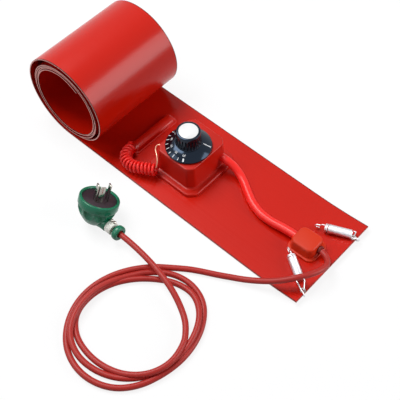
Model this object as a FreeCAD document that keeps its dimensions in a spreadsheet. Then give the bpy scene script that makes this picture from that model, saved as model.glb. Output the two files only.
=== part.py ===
import FreeCAD, Part
import math
import os
import Sketcher
from FreeCAD import Placement, Rotation, Vector

# Drum heater: a flexible silicone heating band, rolled up at one end, with a knob thermostat
# under a moulded boot, a junction block, a mains cord with its plug, and two tension springs.
# Lengths are in millimetres and angles in degrees. X runs along the band to its free end,
# Y runs across the band to its rear edge, Z is up, and the part lies on the plane Z = 0.

doc = FreeCAD.newDocument("drum_heater")

# Driving dimensions, each with a word for its name and a note

SIZES = [
    ("end_x", 195.72, "free end of the band, along X from the origin"),
    ("band_width", 125, "width of the band"),
    ("band_thick", 1.6, "thickness of the band"),
    ("band_length", 1740, "length of the band when it is laid out flat"),
    ("roll_from_end", 337.9, "middle of the roll, from the free end"),
    ("outer_turn_diameter", 111.2, "loose outer turn, to the middle of the band's wall"),
    ("roll_looseness", 12.15, "how much narrower the first tight turn is than the loose outer one"),
    ("turn_gap", 0.25, "space between two turns that rest on each other"),
    ("tail_length", 26, "loose stretch before the inner end"),
    ("tail_tightness", 7.05, "how much tighter than one more turn that loose stretch bends"),
    ("tail_flat", 9, "flat stretch that holds the inner eyelets"),
    ("curl_length", 70, "stretch over which the free end curls up"),
    ("curl_rise", 5, "height that the free end curls up"),
    ("eyelet_inset", 3.6, "eyelet centre, from the end of the band"),
    ("eyelet_bore", 3.4, "clear bore of an eyelet"),
    ("eyelet_wall", 0.5, "wall of an eyelet's barrel"),
    ("eyelet_flange", 6.4, "diameter of an eyelet's flanges"),
    ("flange_thick", 0.35, "thickness of an eyelet's flanges"),
    ("rear_hook_y", 40.2, "rear eyelets, across the band"),
    ("front_hook_y", -46.9, "front eyelets, across the band"),
    ("seat_gap", 0.05, "clearance between pieces that rest on each other"),
    ("boot_from_end", 202.5, "middle of the thermostat boot, from the free end"),
    ("boot_base_length", 58, "boot at its foot, along the band"),
    ("boot_base_width", 63, "boot at its foot, across the band"),
    ("boot_top_length", 52, "boot at its top, along the band"),
    ("boot_top_width", 61, "boot at its top, across the band"),
    ("boot_height", 35.4, "boot above the band"),
    ("boot_corner", 9, "cut corners of the boot"),
    ("boot_wall", 3, "wall of the boot"),
    ("boot_soft_edge", 2.2, "rounding of the boot's top edge"),
    ("boot_flange_margin", 7.5, "flange that bonds the boot to the band, all round"),
    ("boot_flange_thick", 4, "thickness of that flange"),
    ("knob_y", -4, "knob axis, across the band"),
    ("shaft_diameter", 6, "thermostat shaft"),
    ("shaft_fit", 0.05, "radial clearance of the shaft in its bushing and in the knob"),
    ("shaft_flat", 1.2, "depth of the flat on the shaft"),
    ("bushing_diameter", 9.5, "bushing round the shaft"),
    ("case_length", 38, "thermostat case, along the band"),
    ("case_width", 34, "thermostat case, across the band"),
    ("case_height", 20, "thermostat case"),
    ("plate_length", 44, "fixing plate of the thermostat, along the band"),
    ("plate_width", 38, "fixing plate of the thermostat, across the band"),
    ("plate_thick", 1.2, "fixing plate of the thermostat"),
    ("screw_spacing", 28, "two fixing screws under the knob"),
    ("screw_diameter", 3.2, "shank of a fixing screw"),
    ("screw_head_diameter", 6.4, "head of a fixing screw"),
    ("screw_head_height", 2, "head of a fixing screw"),
    ("skirt_gap", 1.3, "space between the boot's top and the knob's skirt"),
    ("skirt_radius", 26.2, "scale disc of the knob"),
    ("skirt_rim", 1.5, "upright rim of the scale disc"),
    ("skirt_rise", 6, "rise of the scale disc from rim to grip"),
    ("skirt_wall", 1.5, "wall of the scale disc"),
    ("grip_radius", 14.3, "grip of the knob"),
    ("knob_height", 25.4, "height of the knob"),
    ("grip_draft", 0.8, "how much narrower the grip is at its top"),
    ("flute_radius", 0.9, "flutes round the grip"),
    ("flute_count", 24, "number of flutes"),
    ("cap_radius", 11, "pale disc let into the knob's top"),
    ("cap_thick", 0.8, "thickness of that disc"),
    ("sensor_from_end", 264.7, "sensor cover, from the free end"),
    ("sensor_y", 1.5, "middle of the sensor cover, across the band"),
    ("sensor_length", 65, "sensor cover, across the band"),
    ("sensor_width", 13, "sensor cover, along the band"),
    ("sensor_height", 5.8, "sensor cover above the band"),
    ("bulb_diameter", 4, "sensing bulb"),
    ("bulb_length", 54, "sensing bulb"),
    ("curl_tube_diameter", 15, "outside of the coiled capillary sleeve"),
    ("curl_tube_reach", 38.5, "how far that sleeve reaches along the band"),
    ("capillary_diameter", 1.6, "bare capillary that enters the boot"),
    ("sleeve_diameter", 9.6, "lead sleeve from the boot to the junction block"),
    ("sleeve_exit_y", 21, "where the sleeve leaves the boot, across the band"),
    ("sleeve_exit_z", 17.5, "where the sleeve leaves the boot, above the floor"),
    ("block_from_end", 34.5, "middle of the junction block, from the free end"),
    ("block_y", -1, "middle of the junction block, across the band"),
    ("block_length", 31, "junction block, along the band"),
    ("block_width", 27, "junction block, across the band"),
    ("block_height", 12.8, "junction block above its base"),
    ("block_corner", 6, "cut corners of the junction block"),
    ("block_soft_edge", 2.6, "rounding of the block's top edge"),
    ("block_draft", 4, "draft angle of the block's sides"),
    ("block_base_margin", 2.2, "base of the junction block, all round"),
    ("block_base_thick", 2.2, "base of the junction block"),
    ("socket_depth", 7, "depth of the sockets in the junction block"),
    ("cord_socket_y", 1.8, "cord socket, across the block from its middle"),
    ("cord_diameter", 6.6, "mains cord"),
    ("grommet_wall", 1.2, "wall of the cord grommet"),
    ("grommet_length", 6, "length of the cord grommet"),
    ("grommet_lip", 0.4, "raised rim of the grommet"),
    ("grommet_stand", 2.5, "how far the grommet stands out of the block"),
    ("coil_height", 7.4, "height of the coiled cord"),
    ("plug_from_end", 228.65, "plug face, from the free end of the band"),
    ("plug_y", -116.3, "plug face, across from the origin"),
    ("plug_z", 31.63, "plug face above the floor"),
    ("plug_lean_back", 27.9, "lean of the plug towards the rear"),
    ("plug_lean_side", 2.9, "lean of the plug away from its cord"),
    ("plug_radius", 22.5, "head of the plug"),
    ("plug_band", 9, "straight band round the head"),
    ("plug_depth", 30.1, "height of the plug's head"),
    ("plug_foot_radius", 10.5, "foot of the head"),
    ("insert_radius", 19, "dark face of the plug"),
    ("insert_thick", 5, "dark face of the plug"),
    ("insert_recess", 1.4, "how deep the dark face lies below the rim"),
    ("neck_depth", 23.5, "axis of the plug's neck below the rim"),
    ("neck_radius", 7.6, "neck of the plug"),
    ("neck_end", 21, "end of the neck, from the head's axis"),
    ("clamp_length", 8.5, "cord clamp behind the neck"),
    ("clamp_radius", 7.2, "cord clamp"),
    ("collar_gap", 3, "open gap between clamp and collar"),
    ("collar_radius", 8.6, "end collar of the plug"),
    ("collar_length", 7, "end collar of the plug"),
    ("pin_width", 6.3, "flat pin of the plug"),
    ("pin_thick", 1.6, "flat pin of the plug"),
    ("pin_reach", 19, "current pins beyond the plug's face"),
    ("earth_reach", 18, "earth pin beyond the plug's face"),
    ("pin_spread", 13.9, "between the two current pins"),
    ("pin_line", 63.8, "direction of the line through the current pins, from the neck's"),
    ("pin_shift", 3, "middle of the current pins, from the middle of the face"),
    ("earth_offset", 4, "earth pin, from the line of the current pins"),
    ("earth_shift", 2.5, "earth pin, from the middle between the current pins"),
    ("spring_diameter", 10, "outside of a tension spring"),
    ("spring_length", 30.8, "close-wound body of a tension spring"),
    ("spring_wire", 1.4, "wire of a tension spring"),
    ("rear_spring_start", 4.2, "start of the rear spring's body, from its pivot"),
    ("front_spring_start", 14.6, "start of the front spring's body, from its pivot"),
    ("spring_rest", 0.45, "clearance of the spring's body above the band"),
    ("pivot_radius", 3.1, "bend of the wire that goes through an eyelet"),
    ("rear_spring_turn", 21.3, "heading of the rear spring"),
    ("front_spring_turn", -34, "heading of the front spring"),
    ("hook_reach", 11, "length of a free hook"),
    ("hook_drop", 6.6, "height of a free hook"),
]

sheet = doc.addObject("Spreadsheet::Sheet", "Sizes")
for row, (name, value, note) in enumerate(SIZES, 1):
    sheet.set(f"A{row}", name)
    sheet.set(f"B{row}", str(value))
    sheet.set(f"C{row}", note)
    sheet.setAlias(f"B{row}", name)
doc.recompute()


def size(name):
    return float(sheet.get(name))


def tied(formula):
    """A formula in sheet names, written out with the sheet's own prefix."""
    words = sorted((name for name, _, _ in SIZES), key=len, reverse=True)
    text = ""
    position = 0
    while position < len(formula):
        match = next((w for w in words if formula.startswith(w, position)), None)
        if match:
            text += "Sizes." + match
            position += len(match)
        else:
            text += formula[position]
            position += 1
    return text


def value_of(formula):
    result = sheet.evalExpression(tied(formula))
    return float(getattr(result, "Value", result))


parts = []


def keep(piece, label):
    """Name a finished piece and list it for export."""
    piece.Label = label
    parts.append(piece)
    return piece


def place(piece, x="0", y="0", z="0"):
    for axis, formula in zip("xyz", (x, y, z)):
        piece.setExpression(f"Placement.Base.{axis}", tied(formula))


# Helpers for bodies made of sketches and features


def new_body(label):
    return doc.addObject("PartDesign::Body", label + "_body")


def new_sketch(body, name, role="XY_Plane", lift="0"):
    sketch = body.newObject("Sketcher::SketchObject", name)
    plane = next(f for f in body.Origin.OriginFeatures if f.Role == role)
    sketch.AttachmentSupport = [(plane, "")]
    sketch.MapMode = "FlatFace"
    sketch.setExpression("AttachmentOffset.Base.z", tied(lift))
    return sketch


def pin_point(sketch, geometry, corner, x, y):
    """Tie one point of a sketch to two formulas."""
    for kind, axis_line, formula in (("DistanceX", -2, x), ("DistanceY", -1, y)):
        if formula == "0":
            sketch.addConstraint(Sketcher.Constraint("PointOnObject", geometry, corner, axis_line))
        else:
            rule = Sketcher.Constraint(kind, geometry, corner, value_of(formula))
            index = sketch.addConstraint(rule)
            sketch.setExpression(f"Constraints[{index}]", tied(formula))


def draw_outline(sketch, corners):
    """A closed outline of straight lines through corners given as pairs of formulas."""
    points = [Vector(value_of(x), value_of(y), 0) for x, y in corners]
    count = len(points)
    first = sketch.GeometryCount
    for n in range(count):
        sketch.addGeometry(Part.LineSegment(points[n], points[(n + 1) % count]), False)
    for n in range(count):
        following = first + (n + 1) % count
        sketch.addConstraint(Sketcher.Constraint("Coincident", first + n, 2, following, 1))
        pin_point(sketch, first + n, 1, *corners[n])


def draw_circle(sketch, x, y, radius):
    centre = Vector(value_of(x), value_of(y), 0)
    circle = Part.Circle(centre, Vector(0, 0, 1), value_of(radius))
    index = sketch.addGeometry(circle, False)
    pin_point(sketch, index, 3, x, y)
    rule = sketch.addConstraint(Sketcher.Constraint("Radius", index, value_of(radius)))
    sketch.setExpression(f"Constraints[{rule}]", tied(radius))


def cut_corner_outline(length, width, corner):
    """Corners of a rectangle round the origin with its four corners cut off."""
    x, y = f"({length}) / 2", f"({width}) / 2"
    return [
        (f"{x} - {corner}", f"0 - {y}"), (x, f"{corner} - {y}"),
        (x, f"{y} - {corner}"), (f"{x} - {corner}", y),
        (f"{corner} - {x}", y), (f"0 - {x}", f"{y} - {corner}"),
        (f"0 - {x}", f"{corner} - {y}"), (f"{corner} - {x}", f"0 - {y}"),
    ]


def pad(body, sketch, length, reverse=False, taper=None):
    feature = body.newObject("PartDesign::Pad", sketch.Name + "_pad")
    feature.Profile = sketch
    feature.setExpression("Length", tied(length))
    feature.Reversed = reverse
    if taper:
        feature.setExpression("TaperAngle", tied(taper))
    return feature


def pocket(body, sketch, length, reverse=False, midplane=False):
    feature = body.newObject("PartDesign::Pocket", sketch.Name + "_pocket")
    feature.Profile = sketch
    feature.setExpression("Length", tied(length))
    feature.Reversed = reverse
    feature.Midplane = midplane
    doc.recompute()
    if feature.Shape.Volume >= feature.BaseFeature.Shape.Volume:
        raise ValueError(sketch.Name + " removes nothing")
    return feature


def turned(body, name, corners):
    """Revolve an outline of (radius, height) corners round the body's Z axis."""
    sketch = new_sketch(body, name, "XZ_Plane")
    draw_outline(sketch, corners)
    feature = body.newObject("PartDesign::Revolution", name + "_turned")
    feature.Profile = sketch
    feature.ReferenceAxis = (sketch, ["V_Axis"])
    feature.Angle = 360
    return feature


def soften(body, base, radius, wanted):
    """Break the edges of the last feature that the test picks out."""
    doc.recompute()
    names = [f"Edge{n}" for n, edge in enumerate(base.Shape.Edges, 1) if wanted(edge)]
    feature = body.newObject("PartDesign::Chamfer", base.Name + "_soft")
    feature.Base = (base, names)
    feature.setExpression("Size", tied(f"0.7 * ({radius})"))
    return feature


def lies_at(height):
    """A test for edges that lie level at one height of their body."""
    def test(edge):
        return all(abs(vertex.Z - height) < 0.01 for vertex in edge.Vertexes)
    return test


def stands_upright(edge):
    tangent = edge.tangentAt(edge.FirstParameter)
    return abs(tangent.z) > 0.9


# Helpers for bent wire, cord and band


def unit(vector):
    return vector / vector.Length


def bent_route(points, widest=None):
    """Straight runs joined by tangent arcs, each as large as its two runs allow."""
    edges, radii = [], []
    start = points[0]
    for before, corner, after in zip(points, points[1:], points[2:]):
        arrive, leave = corner - before, after - corner
        half_turn = arrive.getAngle(leave) / 2
        radius = 0.45 * min(arrive.Length, leave.Length) / math.tan(half_turn)
        if widest:
            radius = min(radius, widest)
        reach = radius * math.tan(half_turn)
        inward = unit(unit(leave) - unit(arrive))
        first = corner - unit(arrive) * reach
        last = corner + unit(leave) * reach
        middle = corner + inward * (radius / math.cos(half_turn) - radius)
        edges.append(Part.LineSegment(start, first).toShape())
        edges.append(Part.Arc(first, middle, last).toShape())
        radii.append(radius)
        start = last
    edges.append(Part.LineSegment(start, points[-1]).toShape())
    return Part.Wire(edges), radii


def chords_of(route, bend_step):
    """Corner points that follow a bent route in short straight steps."""
    points = [route.OrderedVertexes[0].Point]
    for edge in route.OrderedEdges:
        steps = 1
        if isinstance(edge.Curve, Part.Circle):
            steps = max(1, math.ceil(math.degrees(edge.Length / edge.Curve.Radius) / bend_step))
        places = edge.discretize(steps + 1)
        if (places[0] - points[-1]).Length > (places[-1] - points[-1]).Length:
            places.reverse()
        points += places[1:]
    return points


def flat_sided_tube(points, diameter, sides, widest=None, bend_step=14):
    """Tube with flat sides and mitred joints along a bent route, so that its facets stay few."""
    route, radii = bent_route(points, widest)
    chain = chords_of(route, bend_step)
    ways = [unit(after - before) for before, after in zip(chain, chain[1:])]
    start = ways[0].cross(Vector(0, 0, 1)) if abs(ways[0].z) < 0.9 else ways[0].cross(Vector(0, 1, 0))
    start = unit(start)
    other = ways[0].cross(start)
    turns = [2 * math.pi * (side + 0.5) / sides for side in range(sides)]
    ring = [chain[0] + (start * math.cos(a) + other * math.sin(a)) * (diameter / 2) for a in turns]
    faces = [Part.Face(Part.makePolygon(ring + ring[:1]))]
    for index, way in enumerate(ways):
        corner = chain[index + 1]
        square = unit(way + ways[index + 1]) if index + 1 < len(ways) else way
        reach = [(corner - place).dot(square) / way.dot(square) for place in ring]
        onward = [place + way * step for place, step in zip(ring, reach)]
        for one in range(sides):
            two = (one + 1) % sides
            outline = [ring[one], ring[two], onward[two], onward[one], ring[one]]
            faces.append(Part.Face(Part.makePolygon(outline)))
        ring = onward
    faces.append(Part.Face(Part.makePolygon(ring + ring[:1])))
    shell = Part.makeCompound(faces)
    shell.sewShape()
    solid = Part.makeSolid(shell.Shells[0] if shell.Shells else shell)
    if solid.Volume < 0:
        solid.reverse()
    length = sum((after - before).Length for before, after in zip(chain, chain[1:]))
    expected = sides / 8 * math.sin(2 * math.pi / sides) * diameter ** 2 * length
    return solid, length, radii, solid.Volume / expected


def cord_piece(label, points, diameter, sides=16):
    """One plain tube of a free cord, with its bends and length printed."""
    solid, length, radii, share = flat_sided_tube(points, diameter, sides)
    piece = doc.addObject("Part::Feature", label)
    piece.Shape = solid
    print(f"{label}: length {length:.1f}, volume share {share:.4f}, radii",
          [round(radius, 1) for radius in radii])
    return keep(piece, label)


def along(x, y, z):
    """A point given by its distance along the band from the free end."""
    return Vector(size("end_x") + x, y, z)


# Heating band: one strip whose middle line is a chain of arcs that all turn the same way


def curl_radius():
    run, rise = size("curl_length"), size("curl_rise")
    return (run ** 2 + rise ** 2) / (2 * rise)


def band_top(x):
    """Height of the band's upper face at a distance along X, before the roll."""
    into_curl = max(0.0, size("curl_length") - (size("end_x") - x))
    radius = curl_radius()
    inside = radius - size("band_thick") / 2
    return radius + size("band_thick") / 2 - math.sqrt(inside ** 2 - into_curl ** 2)


def band_pieces():
    """Runs of the middle line from the free end to the inner end: (length, radius or None)."""
    thick = size("band_thick")
    pitch = thick + size("turn_gap")
    curl = curl_radius()
    outer = size("outer_turn_diameter") / 2
    radius = outer - size("roll_looseness") / 2
    drop = 2 * outer - pitch
    slack = outer - radius - pitch
    shift = math.sqrt((slack + 0.6 * size("turn_gap")) ** 2 - slack ** 2)
    pieces = [
        (curl * math.asin(size("curl_length") / curl), curl),
        (size("roll_from_end") - size("curl_length"), None),
        (math.pi * outer, outer),
        (math.pi * drop / 2, drop / 2),
        (shift, None),
    ]
    left = size("band_length") - sum(length for length, _ in pieces)
    left -= size("tail_length") + size("tail_flat")
    while left > 0:
        step = min(left, math.pi * radius)
        pieces.append((step, radius))
        left -= step
        radius -= pitch / 2
    pieces.append((size("tail_length"), radius - size("tail_tightness")))
    pieces.append((size("tail_flat"), None))
    return pieces


def walk_band(distance=None):
    """Follow the middle line; give its runs as (start, heading, length, radius) or one place."""
    point = Vector(size("end_x"), 0, size("band_thick") / 2 + size("curl_rise"))
    heading = math.pi + math.asin(size("curl_length") / curl_radius())
    runs, travelled = [], 0.0
    for length, radius in band_pieces():
        here = length
        if distance is not None and travelled + length >= distance:
            here = distance - travelled
        runs.append((point, heading, length, radius))
        forward = Vector(math.cos(heading), 0, math.sin(heading))
        inward = Vector(math.sin(heading), 0, -math.cos(heading))
        if radius:
            turn = here / radius
            point = point + inward * (radius * (1 - math.cos(turn))) + forward * (radius * math.sin(turn))
            heading -= turn
        else:
            point = point + forward * here
        if here < length:
            break
        travelled += length
    if distance is None:
        return runs
    return point, Vector(math.sin(heading), 0, -math.cos(heading))


def band_side(offset):
    """Edges of one face of the strip, offset from the middle line away from the roll's centre."""
    edges = []
    for point, heading, length, radius in walk_band():
        forward = Vector(math.cos(heading), 0, math.sin(heading))
        inward = Vector(math.sin(heading), 0, -math.cos(heading))
        start = point - inward * offset
        if radius:
            centre = point + inward * radius
            swung = [centre + (start - centre) * math.cos(turn) + forward * (radius + offset) * math.sin(turn)
                     for turn in (length / radius / 2, length / radius)]
            edges.append(Part.Arc(start, swung[0], swung[1]).toShape())
        else:
            edges.append(Part.LineSegment(start, start + forward * length).toShape())
    return edges


def eyelet_seats():
    """Centre and outward normal of the eyelets at the free end and at the inner end."""
    inset = size("eyelet_inset")
    free = walk_band(inset)
    inner = walk_band(size("band_length") - inset)
    rows = []
    for point, normal in (free, inner):
        rows.append([(Vector(point.x, y, point.z), normal)
                     for y in (size("rear_hook_y"), size("front_hook_y"))])
    return rows


def make_band():
    outside = band_side(size("band_thick") / 2)
    inside = band_side(-size("band_thick") / 2)
    ends = [Part.LineSegment(outside[0].Vertexes[0].Point, inside[0].Vertexes[0].Point).toShape(),
            Part.LineSegment(outside[-1].Vertexes[-1].Point, inside[-1].Vertexes[-1].Point).toShape()]
    wire = Part.Wire(Part.__sortEdges__(outside + inside + ends))
    strip = Part.Face(wire).extrude(Vector(0, size("band_width"), 0))
    strip.translate(Vector(0, -size("band_width") / 2, 0))
    hole = size("eyelet_bore") / 2 + size("eyelet_wall") + size("seat_gap")
    for row in eyelet_seats():
        for centre, normal in row:
            reach = size("band_thick")
            drill = Part.makeCylinder(hole, 2 * reach, centre - normal * reach, normal)
            strip = strip.cut(drill)
    band = doc.addObject("Part::Feature", "band_strip")
    band.Shape = strip
    return keep(band, "heater_band")


def eyelet(centre, normal):
    """A barrel with a rolled flange on each face of the band."""
    bore = size("eyelet_bore") / 2
    barrel = bore + size("eyelet_wall")
    flange = size("eyelet_flange") / 2
    half = size("band_thick") / 2 + size("seat_gap")
    edge = half + size("flange_thick")
    outline = [(bore, -edge), (flange - 0.2, -edge), (flange, -half), (barrel, -half),
               (barrel, half), (flange, half), (flange - 0.2, edge), (bore, edge)]
    points = [Vector(r, 0, h) for r, h in outline + outline[:1]]
    solid = Part.Face(Part.makePolygon(points)).revolve(Vector(), Vector(0, 0, 1), 360)
    solid.Placement = Placement(centre, Rotation(Vector(0, 0, 1), normal))
    return solid


def make_eyelets():
    for label, row in zip(("end_eyelets", "inner_end_eyelets"), eyelet_seats()):
        pair = doc.addObject("Part::Feature", label + "_pair")
        pair.Shape = Part.makeCompound([eyelet(centre, normal) for centre, normal in row])
        keep(pair, label)


# Thermostat under its boot

BOOT_X = "end_x - boot_from_end"
BOOT_TOP = "band_thick + boot_height"
RIM_Z = "band_thick + boot_height + skirt_gap"


def make_boot():
    """Moulded silicone boot: a flange, a drafted box with cut corners, hollow underneath."""
    body = new_body("boot")
    foot = new_sketch(body, "boot_flange")
    draw_outline(foot, cut_corner_outline("boot_base_length + 2 * boot_flange_margin",
                                          "boot_base_width + 2 * boot_flange_margin",
                                          "(boot_corner + 0.3 * boot_flange_margin)"))
    flange = pad(body, foot, "boot_flange_thick")
    flange = soften(body, flange, "boot_flange_thick * 0.4", lies_at(size("boot_flange_thick")))
    low = new_sketch(body, "boot_low")
    draw_outline(low, cut_corner_outline("boot_base_length", "boot_base_width", "boot_corner"))
    high = new_sketch(body, "boot_high", lift="boot_height")
    draw_outline(high, cut_corner_outline("boot_top_length", "boot_top_width", "boot_corner"))
    tower = body.newObject("PartDesign::AdditiveLoft", "boot_tower")
    tower.Profile = low
    tower.Sections = [high]
    tower.Ruled = True
    soften(body, tower, "boot_soft_edge", lies_at(size("boot_height")))
    doc.recompute()
    room = new_sketch(body, "boot_room")
    draw_outline(room, cut_corner_outline("boot_top_length - 2 * boot_wall",
                                          "boot_top_width - 2 * boot_wall",
                                          "(boot_corner - boot_wall / 2)"))
    pocket(body, room, "boot_height - boot_wall", reverse=True)
    top = new_sketch(body, "boot_bushing_hole", lift="boot_height")
    draw_circle(top, "0", "knob_y", "bushing_diameter / 2 + 0.4")
    for side in ("", "0 - "):
        draw_circle(top, f"{side}screw_spacing / 2", "knob_y", "screw_diameter / 2 + 0.2")
    pocket(body, top, "2 * boot_wall")
    side = new_sketch(body, "boot_sleeve_hole", "YZ_Plane")
    draw_circle(side, "sleeve_exit_y", "sleeve_exit_z - band_thick", "sleeve_diameter / 2 + seat_gap")
    pocket(body, side, "boot_base_length", reverse=True)
    back = new_sketch(body, "boot_capillary_hole", "YZ_Plane")
    draw_circle(back, "0 - boot_top_width / 3", "boot_height - boot_wall - 2 * capillary_diameter",
                "capillary_diameter / 2 + seat_gap")
    pocket(body, back, "boot_base_length")
    place(body, BOOT_X, "0", "band_thick")
    return keep(body, "thermostat_boot")


def make_thermostat():
    """Case with its bushing, fixing plate, terminals and the two screws under the knob."""
    under_top = "band_thick + boot_height - boot_wall - seat_gap"
    case = new_body("case")
    box = new_sketch(case, "case_box")
    draw_outline(box, cut_corner_outline("case_length", "case_width", "2"))
    pad(case, box, "case_height", reverse=True)
    neck = new_sketch(case, "case_bushing")
    draw_circle(neck, "0", "0", "bushing_diameter / 2")
    pad(case, neck, "plate_thick + boot_wall + seat_gap")
    bore = new_sketch(case, "case_bore", lift="plate_thick + boot_wall + seat_gap")
    draw_circle(bore, "0", "0", "shaft_diameter / 2 + shaft_fit")
    pocket(case, bore, "case_height / 2 + boot_wall")
    place(case, BOOT_X, "knob_y", f"{under_top} - plate_thick - seat_gap")
    keep(case, "thermostat_body")

    plate = new_body("plate")
    blank = new_sketch(plate, "plate_blank")
    draw_outline(blank, cut_corner_outline("plate_length", "plate_width", "4"))
    draw_circle(blank, "0", "0", "bushing_diameter / 2 + 0.2")
    for side in ("", "0 - "):
        draw_circle(blank, f"{side}screw_spacing / 2", "0", "screw_diameter / 2 + seat_gap")
    pad(plate, blank, "plate_thick", reverse=True)
    place(plate, BOOT_X, "knob_y", under_top)
    keep(plate, "thermostat_plate")

    tabs = []
    for side in ("", "0 - "):
        tab = doc.addObject("Part::Box", "terminal_tab")
        tab.setExpression("Length", tied("6.3"))
        tab.setExpression("Width", tied("0.8"))
        tab.setExpression("Height", tied("8"))
        place(tab, f"{BOOT_X} - 3.15", f"knob_y {'+' if side else '-'} case_width / 4",
              f"{under_top} - plate_thick - seat_gap * 2 - case_height - 8")
        tabs.append(tab)
    terminals = doc.addObject("Part::Compound", "terminal_pair")
    terminals.Links = tabs
    keep(terminals, "thermostat_terminals")

    screws = []
    for side in ("", "0 - "):
        shank = doc.addObject("Part::Cylinder", "screw_shank")
        shank.setExpression("Radius", tied("screw_diameter / 2"))
        shank.setExpression("Height", tied("boot_wall + plate_thick + 2 * seat_gap"))
        place(shank, f"{BOOT_X} + {side}screw_spacing / 2", "knob_y",
              f"{BOOT_TOP} - boot_wall - plate_thick - seat_gap")
        head = doc.addObject("Part::Cone", "screw_head")
        head.setExpression("Radius1", tied("screw_head_diameter / 2"))
        head.setExpression("Radius2", tied("screw_head_diameter / 3"))
        head.setExpression("Height", tied("screw_head_height"))
        place(head, f"{BOOT_X} + {side}screw_spacing / 2", "knob_y", f"{BOOT_TOP} + seat_gap")
        screw = doc.addObject("Part::Fuse", "screw_whole")
        screw.Base, screw.Tool = shank, head
        screws.append(screw)
    pair = doc.addObject("Part::Compound", "screw_pair")
    pair.Links = screws
    keep(pair, "thermostat_screws")


def make_knob():
    """Scale disc, fluted grip, pale top disc and the shaft that carries them."""
    shaft = doc.addObject("Part::Cylinder", "shaft_round")
    shaft.setExpression("Radius", tied("shaft_diameter / 2"))
    foot = "case_height / 4"
    shaft.setExpression("Height", tied(f"{foot} + boot_wall + plate_thick + skirt_gap + knob_height * 0.68"))
    flat = doc.addObject("Part::Box", "shaft_flat_cut")
    flat.setExpression("Length", tied("shaft_diameter"))
    flat.setExpression("Width", tied("shaft_diameter"))
    flat.setExpression("Height", tied("knob_height"))
    place(flat, "0 - shaft_diameter / 2", "shaft_diameter / 2 - shaft_flat",
          f"{foot} + boot_wall + plate_thick + skirt_gap + 1")
    stem = doc.addObject("Part::Cut", "shaft_whole")
    stem.Base, stem.Tool = shaft, flat
    place(stem, BOOT_X, "knob_y", f"{BOOT_TOP} - boot_wall - plate_thick - {foot}")
    keep(stem, "thermostat_shaft")

    body = new_body("knob")
    bore = "(shaft_diameter / 2 + shaft_fit)"
    hub = "(shaft_diameter / 2 + 2.5)"
    crown = "(skirt_rim + skirt_rise)"
    shape = turned(body, "knob_outline", [
        (bore, "1"), (hub, "1"), (hub, f"{crown} - skirt_wall"),
        ("grip_radius - 1", f"{crown} - skirt_wall"), ("skirt_radius - skirt_wall", "0"),
        ("skirt_radius", "0"), ("skirt_radius", "skirt_rim"), ("grip_radius + 0.6", crown),
        ("grip_radius", f"{crown} + 0.6"), ("grip_radius - grip_draft", "knob_height - 1"),
        ("grip_radius - grip_draft - 1", "knob_height"), ("cap_radius + seat_gap", "knob_height"),
        ("cap_radius + seat_gap", "knob_height - cap_thick"), ("0", "knob_height - cap_thick"),
        ("0", "knob_height * 0.7"), (bore, "knob_height * 0.7"),
    ])
    doc.recompute()
    mouth = new_sketch(body, "flute_mouth", lift="knob_height - 1.5")
    draw_circle(mouth, "grip_radius - grip_draft / 2 + 0.3", "0", "flute_radius")
    flute = pocket(body, mouth, "knob_height - skirt_rim - skirt_rise - 3")
    ring = body.newObject("PartDesign::PolarPattern", "flutes")
    ring.Originals = [flute]
    ring.Axis = (mouth, ["N_Axis"])
    ring.Angle = 360
    ring.setExpression("Occurrences", tied("flute_count"))
    body.Tip = ring
    place(body, BOOT_X, "knob_y", RIM_Z)
    keep(body, "control_knob")

    cap = new_body("cap")
    turned(cap, "cap_outline", [("0", "0"), ("cap_radius", "0"), ("cap_radius", "cap_thick - 0.3"),
                                ("cap_radius - 0.3", "cap_thick"), ("0", "cap_thick")])
    place(cap, BOOT_X, "knob_y", f"{RIM_Z} + knob_height - cap_thick + seat_gap")
    keep(cap, "knob_cap")


# Sensor under its cover, coiled capillary and lead sleeve

SENSOR_X = "end_x - sensor_from_end"


def make_sensor():
    cover = new_body("sensor")
    plan = new_sketch(cover, "sensor_plan")
    draw_outline(plan, cut_corner_outline("sensor_width", "sensor_length", "3"))
    block = pad(cover, plan, "sensor_height")
    soften(cover, block, "sensor_height * 0.62", lies_at(size("sensor_height")))
    doc.recompute()
    bore = new_sketch(cover, "sensor_bore", "XZ_Plane", lift="sensor_length / 2")
    draw_circle(bore, "0", "sensor_height / 2", "bulb_diameter / 2 + seat_gap")
    pocket(cover, bore, "sensor_length / 2 + bulb_length / 2")
    place(cover, SENSOR_X, "sensor_y", "band_thick")
    keep(cover, "sensor_cover")

    bulb = doc.addObject("Part::Cylinder", "bulb_rod")
    bulb.setExpression("Radius", tied("bulb_diameter / 2"))
    bulb.setExpression("Height", tied("bulb_length"))
    rounded = doc.addObject("Part::Fillet", "bulb_whole")
    rounded.Base = bulb
    doc.recompute()
    rounded.Edges = [(n, size("bulb_diameter") * 0.4, size("bulb_diameter") * 0.4)
                     for n, edge in enumerate(bulb.Shape.Edges, 1) if edge.Closed and edge.Length > 1]
    rounded.Placement.Rotation = Rotation(Vector(1, 0, 0), -90)
    place(rounded, SENSOR_X, "sensor_y - bulb_length / 2 - seat_gap", "band_thick + sensor_height / 2")
    keep(rounded, "sensor_bulb")


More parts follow.
